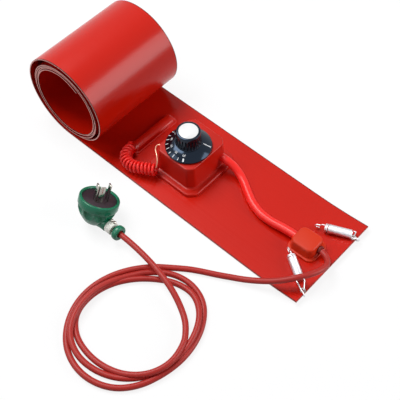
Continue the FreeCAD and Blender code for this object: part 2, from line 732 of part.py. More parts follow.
def make_capillary():
    """Fat tube of the coiled sleeve's outer shape, then the bare capillary up to the boot."""
    fat = size("curl_tube_diameter")
    floor = size("band_thick") + fat / 2 + size("seat_gap")
    ledge = floor + size("boot_flange_thick")
    front = size("sensor_y") - size("sensor_length") / 2 - size("seat_gap")
    x = -size("sensor_from_end")
    turn = size("curl_tube_reach")
    coil = [
        along(x, front, floor), along(x, front - 0.247 * turn, floor),
        along(x + 0.13 * turn, front - 0.455 * turn, floor),
        along(x + 0.364 * turn, front - 0.558 * turn, floor + 0.01 * turn),
        along(x + 0.61 * turn, front - 0.519 * turn, floor + 0.042 * turn),
        along(x + 0.818 * turn, front - 0.403 * turn, ledge - 0.016 * turn),
        along(x + turn, front - 0.312 * turn, ledge + 0.016 * turn),
    ]
    cord_piece("capillary_coil", coil, fat)

    thin = size("capillary_diameter")
    wall_x = -size("boot_from_end") - size("boot_top_length") / 2
    hole_y = -size("boot_top_width") / 3
    hole_z = size("band_thick") + size("boot_height") - size("boot_wall") - 2 * thin
    last = coil[-1]
    rise = Vector(0, 0, fat / 2 - thin)
    tail = [
        last + unit(coil[-1] - coil[-2]) * (thin / 2 + size("seat_gap")) + rise,
        last + Vector(0.08, 0.233, 0.733) * fat, last + Vector(-0.067, 0.633, 1.1) * fat,
        along(wall_x - 5 * thin, hole_y - 3.44 * thin, hole_z - 2.19 * thin),
        along(wall_x - 4.06 * thin, hole_y, hole_z), along(wall_x + 0.94 * thin, hole_y, hole_z),
    ]
    cord_piece("capillary_tail", tail, thin, 8)


def make_lead_sleeve():
    """Soft sleeve that carries the leads from the boot to the junction block."""
    radius = size("sleeve_diameter") / 2
    rest = size("band_thick") + radius + size("seat_gap")
    exit_x = -size("boot_from_end") + size("boot_top_length") / 2 - 1
    exit_y, exit_z = size("sleeve_exit_y"), size("sleeve_exit_z")
    height = value_of(SLEEVE_LIFT)
    mouth = -size("block_length") / 2
    points = [
        along(exit_x, exit_y, exit_z), along(exit_x + 9.5, exit_y, exit_z),
        along(exit_x + 19, exit_y + 1.3, exit_z - 3.6), along(exit_x + 28.5, exit_y + 0.4, rest + 2.8),
        along(exit_x + 38.5, exit_y - 3.6, rest + 0.3), along(-128, 10.5, rest),
        along(-113, 1.6, rest), along(-98, -3.2, rest), along(-82, -3.6, rest),
        block_frame().multVec(Vector(mouth - 12, 0, height)),
        block_frame().multVec(Vector(mouth + size("socket_depth") / 2, 0, height)),
    ]
    return cord_piece("lead_sleeve", points, size("sleeve_diameter"))


# Junction block near the free end


SLEEVE_LIFT = "block_base_thick + sleeve_diameter / 2 + 3 * seat_gap"
CORD_LIFT = "block_base_thick + cord_diameter / 2 + grommet_wall + grommet_lip + 3 * seat_gap"


def block_frame():
    """Place on the curled band under the block, and its tilt."""
    x = size("end_x") - size("block_from_end")
    half = size("block_length") / 2 + size("block_base_margin")
    low, high = band_top(x - half), band_top(x + half)
    tilt = math.degrees(math.atan2(high - low, 2 * half))
    return Placement(Vector(x, size("block_y"), (low + high) / 2 + size("seat_gap")),
                     Rotation(Vector(0, 1, 0), -tilt))


def make_junction():
    frame = block_frame()
    base = new_body("junction_base")
    plan = new_sketch(base, "junction_base_plan")
    draw_outline(plan, cut_corner_outline("block_length + 2 * block_base_margin",
                                          "block_width + 2 * block_base_margin", "block_corner"))
    slab = pad(base, plan, "block_base_thick")
    soften(base, slab, "block_base_thick * 0.35", lies_at(size("block_base_thick")))
    base.Placement = frame
    keep(base, "junction_base")

    block = new_body("junction_block")
    outline = new_sketch(block, "junction_block_plan")
    draw_outline(outline, cut_corner_outline("block_length", "block_width", "block_corner"))
    tower = pad(block, outline, "block_height", taper="0 - block_draft")
    soften(block, tower, "block_soft_edge", lies_at(size("block_height")))
    doc.recompute()
    lift = "- block_base_thick - 2 * seat_gap"
    entry = new_sketch(block, "junction_sleeve_socket", "YZ_Plane", lift="socket_depth - block_length / 2")
    draw_circle(entry, "0", f"{SLEEVE_LIFT} {lift}", "sleeve_diameter / 2 + seat_gap")
    pocket(block, entry, "2 * socket_depth")
    leave = new_sketch(block, "junction_cord_socket", "YZ_Plane", lift="block_length / 2 - socket_depth")
    draw_circle(leave, "cord_socket_y", f"{CORD_LIFT} {lift}",
                "cord_diameter / 2 + grommet_wall + seat_gap")
    pocket(block, leave, "2 * socket_depth", reverse=True)
    lifted = Placement(Vector(0, 0, size("block_base_thick") + size("seat_gap")), Rotation())
    block.Placement = frame * lifted
    keep(block, "junction_block")

    ring = new_body("grommet")
    inner, outer = "cord_diameter / 2 + seat_gap", "cord_diameter / 2 + grommet_wall"
    turned(ring, "grommet_outline", [
        (inner, "0"), (outer, "0"), (outer, "grommet_length - grommet_stand"),
        (f"{outer} + grommet_lip", "grommet_length - grommet_stand + 0.4"),
        (f"{outer} - 0.2", "grommet_length"), (inner, "grommet_length"),
    ])
    seat = Vector(size("block_length") / 2 - size("grommet_length") + size("grommet_stand"),
                  size("cord_socket_y"), value_of(CORD_LIFT))
    ring.Placement = frame * Placement(seat, Rotation(Vector(0, 1, 0), 90))
    keep(ring, "cord_grommet")


def cord_exit():
    """Where the mains cord leaves the junction block, and its direction there."""
    frame = block_frame()
    seat = Vector(size("block_length") / 2 - size("socket_depth") * 0.9, size("cord_socket_y"),
                  value_of(CORD_LIFT))
    return frame.multVec(seat), frame.Rotation.multVec(Vector(1, 0, 0))


# Mains cord: a lead over the front spring, a loose coil on the floor, and a tail to the plug

COIL_OUTER = (along(-105.5, -189.9, 0), 78.5, 65.0, 81)
COIL_INNER = (along(-105.8, -186.9, 0), 60.5, 51.0, 58)


def plug_frame():
    lean = Rotation(Vector(0, 1, 0), -size("plug_lean_side")) * Rotation(Vector(1, 0, 0), -size("plug_lean_back"))
    return Placement(along(-size("plug_from_end"), size("plug_y"), size("plug_z")), lean)


def make_cord():
    diameter = size("cord_diameter")
    floor = diameter / 2 + 0.1
    start, heading = cord_exit()
    lead = [start, start + heading * 14.8] + [along(*point) for point in (
        (-1.4, -8.4, 14.4), (-2.2, -21.0, 18.6), (-7.6, -32.8, 21.4),
        (-15.0, -43.8, 21.4), (-24.4, -53.6, 17.8), (-34.8, -61.8, 13.0),
        (-46.4, -69.6, 8.6), (-58.6, -77.2, 5.2), (-70.6, -84.3, floor + 0.4), (-83.4, -91.6, floor),
        (-96.4, -98.4, floor), (-108.4, -105.4, floor), (-119.0, -113.2, floor), (-127.6, -121.6, floor),
    )]
    cord_piece("mains_cord_lead", lead, diameter)

    rings = []
    for name, (centre, long_half, short_half, turn) in (("outer", COIL_OUTER), ("inner", COIL_INNER)):
        oval = doc.addObject("Part::Ellipse", "coil_" + name)
        oval.MajorRadius, oval.MinorRadius = long_half, short_half
        oval.Placement = Placement(centre, Rotation(Vector(0, 0, 1), turn))
        drum = doc.addObject("Part::Extrusion", "coil_" + name + "_drum")
        drum.Base = oval
        drum.DirMode = "Custom"
        drum.Dir = Vector(0, 0, 1)
        drum.Solid = True
        drum.setExpression("LengthFwd", tied("coil_height"))
        rings.append(drum)
    coil = doc.addObject("Part::Cut", "coil_ring")
    coil.Base, coil.Tool = rings
    keep(coil, "mains_cord_coil")

    frame = plug_frame()
    mouth = size("neck_end") + size("clamp_length") + size("collar_gap") + size("collar_length")
    entry = frame.multVec(Vector(mouth - size("collar_length") + 1, 0, -size("neck_depth")))
    outside = frame.multVec(Vector(mouth + 6, 0, -size("neck_depth")))
    tail = [along(*point) for point in (
        (-50.6, -190.0, floor), (-52.4, -177.5, floor), (-59.0, -165.0, floor + 0.2),
        (-69.6, -155.2, floor + 1.4), (-82.4, -147.4, floor + 4.4), (-95.6, -141.6, floor + 8.4),
        (-109.4, -137.4, floor + 10.6), (-124.2, -134.0, floor + 11), (-139.4, -131.2, floor + 11),
        (-154.4, -129.4, floor + 11), (-168.0, -128.1, floor + 10.4),
    )] + [outside, entry]
    cord_piece("mains_cord_tail", tail, diameter)


def make_plug():
    """Rewirable plug: turned head with finger scallops, side neck, clamp, collar and flat pins."""
    frame = plug_frame()
    shell = new_body("plug")
    head = turned(shell, "plug_head", [
        ("0", "0 - plug_depth"), ("plug_foot_radius", "0 - plug_depth"),
        ("plug_foot_radius + 4", "2 - plug_depth"), ("plug_radius - 3.2", "0 - plug_depth * 0.56"),
        ("plug_radius - 1", "0 - plug_band - 1.5"), ("plug_radius - 0.6", "0 - plug_band"),
        ("plug_radius", "0 - plug_band + 0.6"), ("plug_radius", "0 - 1"), ("plug_radius - 1", "0"),
        ("insert_radius + seat_gap", "0"),
        ("insert_radius + seat_gap", "0 - insert_recess - insert_thick - seat_gap"),
        ("0", "0 - insert_recess - insert_thick - seat_gap"),
    ])
    doc.recompute()
    scallop = new_sketch(shell, "plug_scallop", lift="0 - plug_band - 1.5")
    draw_circle(scallop, "0 - plug_radius - 3", "0", "6")
    bite = pocket(shell, scallop, "plug_depth / 2")
    ring = shell.newObject("PartDesign::PolarPattern", "plug_scallops")
    ring.Originals = [bite]
    ring.Axis = (scallop, ["N_Axis"])
    ring.Angle = 360
    ring.Occurrences = 10
    shell.Tip = ring
    doc.recompute()
    neck = new_sketch(shell, "plug_neck", "YZ_Plane")
    draw_circle(neck, "0", "0 - neck_depth", "neck_radius")
    pad(shell, neck, "neck_end")
    doc.recompute()
    bore = new_sketch(shell, "plug_neck_bore", "YZ_Plane", lift="neck_end")
    draw_circle(bore, "0", "0 - neck_depth", "cord_diameter / 2 + 0.3")
    pocket(shell, bore, "4")
    shell.Placement = frame
    keep(shell, "plug_shell")

    face = new_body("plug_insert")
    turned(face, "plug_insert_outline", [
        ("0", "0"), ("insert_radius", "0"), ("insert_radius", "insert_thick - 0.4"),
        ("insert_radius - 0.4", "insert_thick"), ("0", "insert_thick"),
    ])
    seat = Vector(0, 0, -size("insert_recess") - size("insert_thick"))
    face.Placement = frame * Placement(seat, Rotation())
    keep(face, "plug_insert")

    on_face = -size("insert_recess") + size("seat_gap")
    turn = size("pin_line")
    line = Vector(math.cos(math.radians(turn)), math.sin(math.radians(turn)), 0)
    across = Vector(line.y, -line.x, 0)
    middle = across * size("pin_shift") + Vector(0, 0, on_face)
    half = line * size("pin_spread") / 2
    earth = middle + across * size("earth_offset") - line * size("earth_shift")
    places = [("plug_pin_earth", earth, turn, "earth_reach"),
              ("plug_pin_live", middle + half, turn - 90, "pin_reach"),
              ("plug_pin_neutral", middle - half, turn - 90, "pin_reach")]
    for label, spot, angle, reach in places:
        pin = new_body(label)
        blank = new_sketch(pin, label + "_blank")
        draw_outline(blank, cut_corner_outline("pin_width", "pin_thick", "0.3"))
        blade = pad(pin, blank, f"{reach} + insert_recess")
        chamfer = pin.newObject("PartDesign::Chamfer", label + "_tip")
        doc.recompute()
        tip = [f"Edge{n}" for n, edge in enumerate(blade.Shape.Edges, 1)
               if lies_at(size(reach) + size("insert_recess"))(edge)]
        chamfer.Base = (blade, tip)
        chamfer.Size = 0.5
        pin.Placement = frame * Placement(spot, Rotation(Vector(0, 0, 1), angle))
        keep(pin, label)

    clamp = new_body("plug_clamp")
    turned(clamp, "plug_clamp_outline", [
        ("cord_diameter / 2 + seat_gap", "0"), ("clamp_radius - 0.6", "0"), ("clamp_radius", "0.6"),
        ("clamp_radius", "clamp_length - 0.6"), ("clamp_radius - 0.6", "clamp_length"),
        ("cord_diameter / 2 + seat_gap", "clamp_length"),
    ])
    sideways = Rotation(Vector(0, 1, 0), 90)
    at = Vector(size("neck_end") + size("seat_gap"), 0, -size("neck_depth"))
    clamp.Placement = frame * Placement(at, sideways)
    keep(clamp, "plug_clamp")

    screws = []
    for step in (0.28, 0.78):
        screw = doc.addObject("Part::Cylinder", "plug_screw")
        screw.Radius, screw.Height = 1.6, 2.2
        x = size("neck_end") + size("clamp_length") * step
        spot = Vector(x, 0, size("clamp_radius") + size("seat_gap") - size("neck_depth"))
        screw.Placement = frame * Placement(spot, Rotation())
        screws.append(screw)
    pair = doc.addObject("Part::Compound", "plug_screw_pair")
    pair.Links = screws
    keep(pair, "plug_clamp_screws")

    collar = new_body("plug_collar")
    inside, gap = "cord_diameter / 2 + 0.4", "collar_gap"
    turned(collar, "plug_collar_outline", [
        ("cord_diameter / 2 + seat_gap", "0"), ("neck_radius * 0.62", "0"), ("neck_radius * 0.62", gap),
        ("collar_radius - 1.2", gap), ("collar_radius", f"{gap} + 1.2"),
        ("collar_radius", f"{gap} + collar_length - 1.8"),
        ("collar_radius - 1.8", f"{gap} + collar_length"), (inside, f"{gap} + collar_length"),
        (inside, f"{gap} + 1"), ("cord_diameter / 2 + seat_gap", f"{gap} + 1"),
    ])
    at = Vector(size("neck_end") + size("clamp_length") + 2 * size("seat_gap"), 0, -size("neck_depth"))
    collar.Placement = frame * Placement(at, sideways)
    keep(collar, "plug_collar")


# Tension springs at the free end


def spring_frame(centre, turn, start):
    """Frame of a spring at its pivot: X along its axis out over the band's end, Z up."""
    heading = Vector(math.cos(math.radians(turn)), math.sin(math.radians(turn)), 0)
    pivot = centre + heading * size("pivot_radius")
    radius = size("spring_diameter") / 2 + size("spring_rest")
    ends = []
    for reach in (start, start + size("spring_length")):
        plan = pivot - heading * reach
        ends.append(Vector(plan.x, plan.y, band_top(plan.x) + radius))
    ahead = unit(ends[0] - ends[1])
    side = unit(Vector(0, 0, 1).cross(ahead))
    up = ahead.cross(side)
    frame = Placement(pivot, Rotation(ahead, side, up, "ZXY"))
    lift = (ends[0] - pivot).dot(up)
    return frame, lift


def close_wound_body(lift, start, sides=16):
    """Touching turns of wire as one ridged tube, whose ridges are flat-sided to save facets."""
    wire = size("spring_wire")
    outer = size("spring_diameter") / 2
    turns = int(size("spring_length") / wire)
    pitch = size("spring_length") / turns

    def ring(x, radius):
        turned_to = [2 * math.pi * (side + 0.5) / sides for side in range(sides)]
        return [Vector(x, radius * math.cos(a), lift + radius * math.sin(a)) for a in turned_to]

    rings = [ring(-start, outer - wire), ring(-start, outer - wire * 0.3)]
    for turn in range(turns):
        rings.append(ring(-start - (turn + 0.5) * pitch, outer))
        rings.append(ring(-start - (turn + 1) * pitch, outer - wire * 0.3))
    rings.append(ring(-start - turns * pitch, outer - wire))
    faces = []
    for near, far in zip(rings, rings[1:] + rings[:1]):
        for one in range(sides):
            two = (one + 1) % sides
            faces.append(Part.Face(Part.makePolygon([near[one], near[two], far[two], far[one], near[one]])))
    shell = Part.makeCompound(faces)
    shell.sewShape()
    solid = Part.makeSolid(shell.Shells[0] if shell.Shells else shell)
    if solid.Volume < 0:
        solid.reverse()
    return solid


def root_wire(lift, start):
    """Two legs from the spring's body that close in a bend through the eyelet."""
    reach = size("pivot_radius")
    spread = size("spring_diameter") / 2 - size("spring_wire") / 2
    start = size("seat_gap") - start
    side = size("spring_wire") * 0.62
    bend = [Vector(-reach, side * 0.9, 2.2), Vector(-reach, side * 0.5, -1.2),
            Vector(-reach * 0.55, side * 0.2, -reach), Vector(reach * 0.55, -side * 0.2, -reach),
            Vector(reach, -side * 0.5, -1.2), Vector(reach, -side * 0.9, 1.8)]
    leg = Vector(size("spring_wire") * 1.8, 0, 0)
    near = Vector(start, spread, lift)
    far = Vector(start, -spread, lift)
    return [near, near + leg] + bend + [Vector(0.6, -side * 2.2, 4.6), far + leg, far]


def free_hook(lift, start):
    """Open hook that stands upright behind the spring's body."""
    start = -start - size("spring_length") - size("seat_gap")
    reach = size("hook_reach")
    rise = size("spring_diameter") / 2 - size("spring_wire") / 2
    drop = size("hook_drop") - rise
    return [Vector(start, 0, lift + rise), Vector(start - 2.2, 0, lift + rise),
            Vector(start - 4.6, 0, lift + rise * 0.55), Vector(start - reach + 2.4, 0, lift + rise * 0.5),
            Vector(start - reach, 0, lift), Vector(start - reach + 1.6, 0, lift - drop),
            Vector(start - reach / 2, 0, lift - drop)]


def make_springs():
    seats = eyelet_seats()[0]
    for name, (centre, _) in zip(("rear", "front"), seats):
        start = size(name + "_spring_start")
        frame, lift = spring_frame(centre, size(name + "_spring_turn"), start)
        wire = size("spring_wire")
        shapes = (("coil", close_wound_body(lift, start)),
                  ("root", flat_sided_tube(root_wire(lift, start), wire, 8, wire * 1.3, 25)[0]),
                  ("hook", flat_sided_tube(free_hook(lift, start), wire, 8, wire * 1.6, 25)[0]))
        for kind, solid in shapes:
            piece = doc.addObject("Part::Feature", f"{name}_{kind}_wire")
            piece.Shape = solid
            piece.Placement = frame
            keep(piece, f"{name}_spring_{kind}")
        axes = [frame.Rotation.multVec(Vector(*axis)) for axis in ((1, 0, 0), (0, 1, 0), (0, 0, 1))]
        print(f"{name} spring pivot", [round(value, 3) for value in frame.Base],
              "axes", [[round(value, 5) for value in axis] for axis in axes], "lift", round(lift, 3))


make_band()
make_eyelets()
make_boot()
make_thermostat()
make_knob()
make_sensor()
make_capillary()
make_lead_sleeve()
make_junction()
make_cord()
make_plug()
make_springs()

# Check every object, then write one file for each piece

doc.recompute()
for item in doc.Objects:
    if "Invalid" in item.State or "Error" in item.State:
        raise ValueError(f"{item.Label} failed: {item.State}")
for piece in parts:
    if piece.Shape.isNull() or not piece.Shape.isValid():
        raise ValueError(f"{piece.Label} has no valid shape")

os.makedirs("parts", exist_ok=True)
for piece in parts:
    piece.Shape.exportStep(f"parts/{piece.Label}.step")
whole = Part.makeCompound([piece.Shape for piece in parts]).BoundBox
print("pieces", len(parts), "box", [round(value, 2) for value in (
    whole.XMin, whole.XMax, whole.YMin, whole.YMax, whole.ZMin, whole.ZMax)])
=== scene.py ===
# %% [markdown]
# # A drum heater, dressed for its portrait
# The object is a flexible heating band of silicone rubber, 125 mm wide, that is wrapped round a
# steel drum and held there by two springs. Here it lies half rolled up on a table. The solids
# come from the CAD frame; this lesson lays finer pieces over them, one step at a time, and every
# new piece but the springs' turns rides on one of the bodies of that frame.

# %% Load the solids
from math import asin, atan2, cos, pi, radians, sin, sqrt

import bmesh
import bpy
from mathutils import Matrix, Vector


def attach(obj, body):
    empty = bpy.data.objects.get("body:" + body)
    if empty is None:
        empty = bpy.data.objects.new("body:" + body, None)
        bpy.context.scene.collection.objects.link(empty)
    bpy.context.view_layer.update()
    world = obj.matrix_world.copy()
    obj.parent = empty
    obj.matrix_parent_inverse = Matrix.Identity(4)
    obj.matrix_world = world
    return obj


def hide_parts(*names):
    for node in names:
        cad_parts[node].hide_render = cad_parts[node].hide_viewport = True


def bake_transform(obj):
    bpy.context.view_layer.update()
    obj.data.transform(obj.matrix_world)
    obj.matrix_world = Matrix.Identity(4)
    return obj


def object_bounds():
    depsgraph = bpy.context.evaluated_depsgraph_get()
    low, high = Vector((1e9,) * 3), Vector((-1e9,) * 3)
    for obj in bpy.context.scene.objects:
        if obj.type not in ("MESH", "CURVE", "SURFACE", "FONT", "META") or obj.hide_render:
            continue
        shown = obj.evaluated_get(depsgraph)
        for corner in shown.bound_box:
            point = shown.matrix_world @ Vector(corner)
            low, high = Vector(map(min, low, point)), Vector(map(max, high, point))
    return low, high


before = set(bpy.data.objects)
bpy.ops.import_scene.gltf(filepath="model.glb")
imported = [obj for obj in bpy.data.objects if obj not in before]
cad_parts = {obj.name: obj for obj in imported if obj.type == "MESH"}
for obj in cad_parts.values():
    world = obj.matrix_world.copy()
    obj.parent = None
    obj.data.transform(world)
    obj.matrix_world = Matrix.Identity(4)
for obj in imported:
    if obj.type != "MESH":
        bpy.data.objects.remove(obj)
cad_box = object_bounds()
scene = bpy.context.scene
scene.view_settings.view_transform = "Standard"
print("CAD box:", [[round(v, 4) for v in corner] for corner in cad_box])

# %% [markdown]
# All places are written in millimetres from the free end of the band, because that is the edge
# a person would measure from. One function turns them into metres in the frame of the solids.

# %% Places on the heater
END = 195.72
MM = 0.001


def at(x, y, z):
    """A place in millimetres from the band's free end, across it and above the table."""
    return Vector(((END + x) * MM, y * MM, z * MM))


def frame_of(origin, along, across, up):
    """The matrix of a tilted piece: its corner and its three directions."""
    turn = Matrix((along, across, up)).transposed().to_4x4()
    return Matrix.Translation(Vector(origin) * MM) @ turn @ Matrix.Scale(MM, 4)


print("free end of the band at", at(0, 0, 0))

# %% [markdown]
# ## The camera
# The picture was taken from above with a long lens. A camera turned about two axes, first down
# and then round, keeps the horizon level, so its place, these two angles and the length of the
# lens are all that had to be found.

# %% Camera
AZIMUTH, ELEVATION = radians(42.11), radians(55.08)
camera = bpy.data.objects.new("camera", bpy.data.cameras.new("camera"))
camera.data.lens = 81.63
camera.data.sensor_width = 36
camera.data.clip_start = 0.05
camera.location = (0.42125, -0.45878, 0.82692)
camera.rotation_euler = (pi / 2 - ELEVATION, 0, AZIMUTH)
scene.collection.objects.link(camera)
scene.camera = camera
print("camera", round(camera.location.length, 3), "m from the middle of the heater")

# %% [markdown]
# ## Nodes and colours
# Every finish below is a small tree of nodes. Two helpers keep the trees short: one turns a
# colour as it is read on a screen into the linear numbers that a renderer mixes, and one adds a
# node, sets it up and links what goes into it.

# %% Helpers for finishes


def linear(text):
    """An sRGB hex colour as linear numbers."""
    parts = [int(text[i:i + 2], 16) / 255 for i in (1, 3, 5)]
    return tuple(p / 12.92 if p <= 0.04045 else ((p + 0.055) / 1.055) ** 2.4 for p in parts) + (1,)


def add(tree, kind, inputs=None, **settings):
    """Add one node; inputs holds values, or other nodes' sockets to link."""
    node = tree.nodes.new(kind)
    for name, value in settings.items():
        setattr(node, name, value)
    for name, value in (inputs or {}).items():
        if isinstance(value, bpy.types.NodeSocket):
            tree.links.new(value, node.inputs[name])
        else:
            node.inputs[name].default_value = value
    return node


def new_finish(name, colour, roughness, **values):
    """A material with one surface shader; returns it with its tree and its shader."""
    finish = bpy.data.materials.new(name)
    finish.use_nodes = True
    tree = finish.node_tree
    shader = tree.nodes["Principled BSDF"]
    shader.inputs["Base Color"].default_value = linear(colour)
    shader.inputs["Roughness"].default_value = roughness
    for socket, value in values.items():
        shader.inputs[socket.replace("_", " ")].default_value = value
    return finish, tree, shader


print("a mid grey in linear numbers:", linear("#808080")[0])

# %% [markdown]
# ## The table and the light
# The picture has a white background and only a breath of shadow. The table is a plane of white
# board. Part of what the camera sees of it is a plain white glow, so that it stays white, and the
# rest is lit board, so that the shadows stay. The world does the same: rays from the camera, from
# reflections and through clear things see white, while the heater is lit by a softer grey. Light
# that bounces off the board meets a pale grey, so that the hollow of the roll stays dark.

# %% What is seen directly


def seen_directly(tree):
    """The Light Path node, and a clamped sum of its camera, glossy and transmission rays."""
    path = add(tree, "ShaderNodeLightPath")
    rays = [path.outputs[f"Is {kind} Ray"] for kind in ("Camera", "Glossy", "Transmission")]
    two = add(tree, "ShaderNodeMath", {0: rays[0], 1: rays[1]})
    return path, add(tree, "ShaderNodeMath", {0: two.outputs[0], 1: rays[2]}, use_clamp=True)


# %% White board
GLOW_SHARE = 0.85
floor_finish = bpy.data.materials.new("white card")
floor_finish.use_nodes = True
tree = floor_finish.node_tree
tree.nodes.clear()
path, seen = seen_directly(tree)
share = add(tree, "ShaderNodeMath", {0: seen.outputs[0], 1: GLOW_SHARE}, operation="MULTIPLY")
tone = add(tree, "ShaderNodeMix", {"Factor": path.outputs["Is Camera Ray"], "A": linear("#B4B4B6"),
                                   "B": linear("#FDFDFF")}, data_type="RGBA")
board = add(tree, "ShaderNodeBsdfDiffuse", {"Color": tone.outputs["Result"]})
glow = add(tree, "ShaderNodeEmission", {"Color": linear("#FFFFFF"), "Strength": 1.0})
mixed = add(tree, "ShaderNodeMixShader",
            {0: share.outputs[0], 1: board.outputs[0], 2: glow.outputs[0]})
add(tree, "ShaderNodeOutputMaterial", {"Surface": mixed.outputs[0]})

bm = bmesh.new()
bmesh.ops.create_grid(bm, x_segments=1, y_segments=1, size=6)
bmesh.ops.translate(bm, verts=bm.verts, vec=(0, 0, cad_box[0][2] - 0.0001))
floor_mesh = bpy.data.meshes.new("table")
bm.to_mesh(floor_mesh)
bm.free()
floor_mesh.materials.append(floor_finish)
floor = bpy.data.objects.new("table", floor_mesh)
scene.collection.objects.link(floor)
print("table at z =", round(cad_box[0][2], 4))

# %% World and lamps
world = bpy.data.worlds.new("soft room")
scene.world = world
world.use_nodes = True
tree = world.node_tree
tree.nodes.clear()
path, seen = seen_directly(tree)
room = add(tree, "ShaderNodeBackground", {"Color": linear("#F2F6FF"), "Strength": 0.07})
white = add(tree, "ShaderNodeBackground", {"Color": linear("#FFFFFF"), "Strength": 1.0})
mixed = add(tree, "ShaderNodeMixShader",
            {0: seen.outputs[0], 1: room.outputs[0], 2: white.outputs[0]})
add(tree, "ShaderNodeOutputWorld", {"Surface": mixed.outputs[0]})


def lamp(name, towards, distance, width, height, watts):
    """A soft rectangular lamp that looks at the middle of the heater."""
    light = bpy.data.lights.new(name, "AREA")
    light.shape = "RECTANGLE"
    light.size, light.size_y, light.energy = width, height, watts
    obj = bpy.data.objects.new(name, light)
    way = Vector(towards).normalized()
    obj.location = way * distance + Vector((0, 0, 0.03))
    obj.rotation_euler = way.to_track_quat("Z", "Y").to_euler()
    scene.collection.objects.link(obj)
    return obj


# The first lights the flat band, the second draws the long highlight on the roll, and the third
# opens the shade on the side that faces the camera.
lamp("overhead softbox", (-0.46, -0.03, 0.88), 1.6, 0.9, 0.9, 23.5)
lamp("side softbox", (0.78, 0.45, 0.42), 1.5, 0.75, 1.0, 13)
lamp("front fill", (-0.45, -0.75, 0.6), 1.6, 0.8, 0.8, 5)

# %% [markdown]
# ## Finishes
# Silicone rubber is cast or rolled against smooth steel, so it has an even, slightly soft gloss. It
# is dyed right through, and its colour is so deep that almost only red comes back. Its IOR is about
# 1.41 and is set a little lower where the picture shows less of a pale veil.

# %% Silicone finishes
band_silicone, tree, shader = new_finish("calendered silicone rubber, band", "#C41806", 0.23,
                                         IOR=1.33)
# The rollers that pressed the sheet left faint lines along it, seen where a lamp is mirrored. They
# are about 3 mm apart here, coarser than real ones, so that they show.
LINE_SCALE = (4, 330, 4)
coords = add(tree, "ShaderNodeTexCoord")
drawn = add(tree, "ShaderNodeMapping", {"Vector": coords.outputs["Object"], "Scale": LINE_SCALE})
lines = add(tree, "ShaderNodeTexNoise", {"Vector": drawn.outputs[0], "Scale": 1.0, "Detail": 3.0})
bump = add(tree, "ShaderNodeBump", {"Height": lines.outputs[0], "Strength": 0.22, "Distance": 0.0005})
tree.links.new(bump.outputs[0], shader.inputs["Normal"])

# The narrow cut sides are painted a pale pink: a painted highlight, since the cut rubber is the same
# red as the rolled faces and only looks pale where it catches the light.
cut_edge_highlight, tree, shader = new_finish("cut edge of silicone sheet, painted highlight", "#F29C90", 0.3, IOR=1.41)
# A dark red is painted on the strip along the sheet's edges and in the bevels between the turns:
# painted shade for the thin shadow at the edges and in the gaps between turns.
edge_shade, tree, shader = new_finish("painted edge shade of silicone sheet", "#5E0A08", 0.4, IOR=1.32)
# Pieces cast in a mould are a little duller than the rolled sheet.
boot_silicone, tree, shader = new_finish("moulded silicone rubber, boot", "#BE1A0A", 0.34, IOR=1.33)
block_silicone, tree, shader = new_finish("moulded silicone rubber, block", "#D03212", 0.4,
                                          IOR=1.33)
# The gland is painted a dark red: painted shade for the recess round the cord at the block.
gland_shade, tree, shader = new_finish("silicone gland, painted shade of its recess", "#6A0F0B", 0.4, IOR=1.41)
# Sleeving is pushed out of a nozzle, bright and smooth. The cord's jacket is duller.
sleeve_silicone, tree, shader = new_finish("extruded silicone sleeving", "#F62620", 0.32, IOR=1.41)
cord_jacket, tree, shader = new_finish("dull silicone cord jacket", "#AB2A24", 0.42, IOR=1.36)
print("silicone finishes:", len([m for m in bpy.data.materials if "silicone" in m.name]))

# %% Plastics and paint
# Phenolic takes a high polish. The cold, bluish grey of its reflections is painted in by a blue
# specular tint: a painted reflection of a bluish room.
phenolic, tree, shader = new_finish("polished black phenolic", "#080A12", 0.14, IOR=1.5,
                                    Specular_Tint=linear("#A9C6EC"))
# Marking paint lies in the scale as a flat, matt white. The disc on the crown is smooth.
white_paint, tree, shader = new_finish("white marking paint", "#E9ECEF", 0.5)
white_disc, tree, shader = new_finish("pale printed disc", "#EDEEEE", 0.25)
# The case inside the boot is a mineral-filled thermoset, matt and cream.
thermoset, tree, shader = new_finish("pale moulded thermoset", "#D8D2C4", 0.5)
# The plug's head is moulded in a glossy green and its face in a matt, almost black one.
plug_green, tree, shader = new_finish("glossy green moulding", "#047050", 0.24, IOR=1.42)
plug_dark, tree, shader = new_finish("matt dark moulding", "#2C1E26", 0.5, IOR=1.36)
clamp_cream, tree, shader = new_finish("cream moulding", "#FFFDF4", 0.3)

# %% Metals
# Nickel plate is bright and slightly warm on brass. Drawn spring wire scatters a little more.
plated_brass, tree, shader = new_finish("nickel-plated brass", "#B5B2AA", 0.16, Metallic=1.0)
spring_wire, tree, shader = new_finish("nickel-plated spring wire", "#E2E5E9", 0.33, Metallic=1.0)
eyelet_metal, tree, shader = new_finish("rolled brass eyelet, plated", "#C2BFB8", 0.28, Metallic=1.0)
plate_steel, tree, shader = new_finish("zinc-plated steel", "#B6B8BA", 0.35, Metallic=1.0)
# Drawn copper tube, bright and a little pink.
capillary_copper, tree, shader = new_finish("pale copper capillary", "#D8A58C", 0.3, Metallic=1.0)
print("finishes in all:", len(bpy.data.materials))

# %% [markdown]
# ## Finishing a piece
# Each piece is shaped as a bmesh. The helper below turns it into an object at the origin, shades
# it smooth except across sharp folds, paints it, lets it ride on its body and hides the solids
# that it stands for.

# %% Helpers for pieces


def into_scene(name, mesh, finish, slot, body="heater", stands_for=(), sharp=35):
    """Put a mesh in the scene as a finished piece, riding on its body if it has one."""
    if not mesh.materials:
        mesh.materials.append(finish)
    mesh.shade_smooth()
    mesh.set_sharp_from_angle(angle=radians(sharp))
    obj = bpy.data.objects.new(name, mesh)
    scene.collection.objects.link(obj)
    if body:
        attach(obj, body)
    if stands_for:
        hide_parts(*stands_for)
    print(f"{name}: {len(mesh.polygons)} faces")
    return obj


def only(kind, geom):
    """The elements of one kind, such as edges, among an operator's results."""
    return [g for g in geom if isinstance(g, kind)]


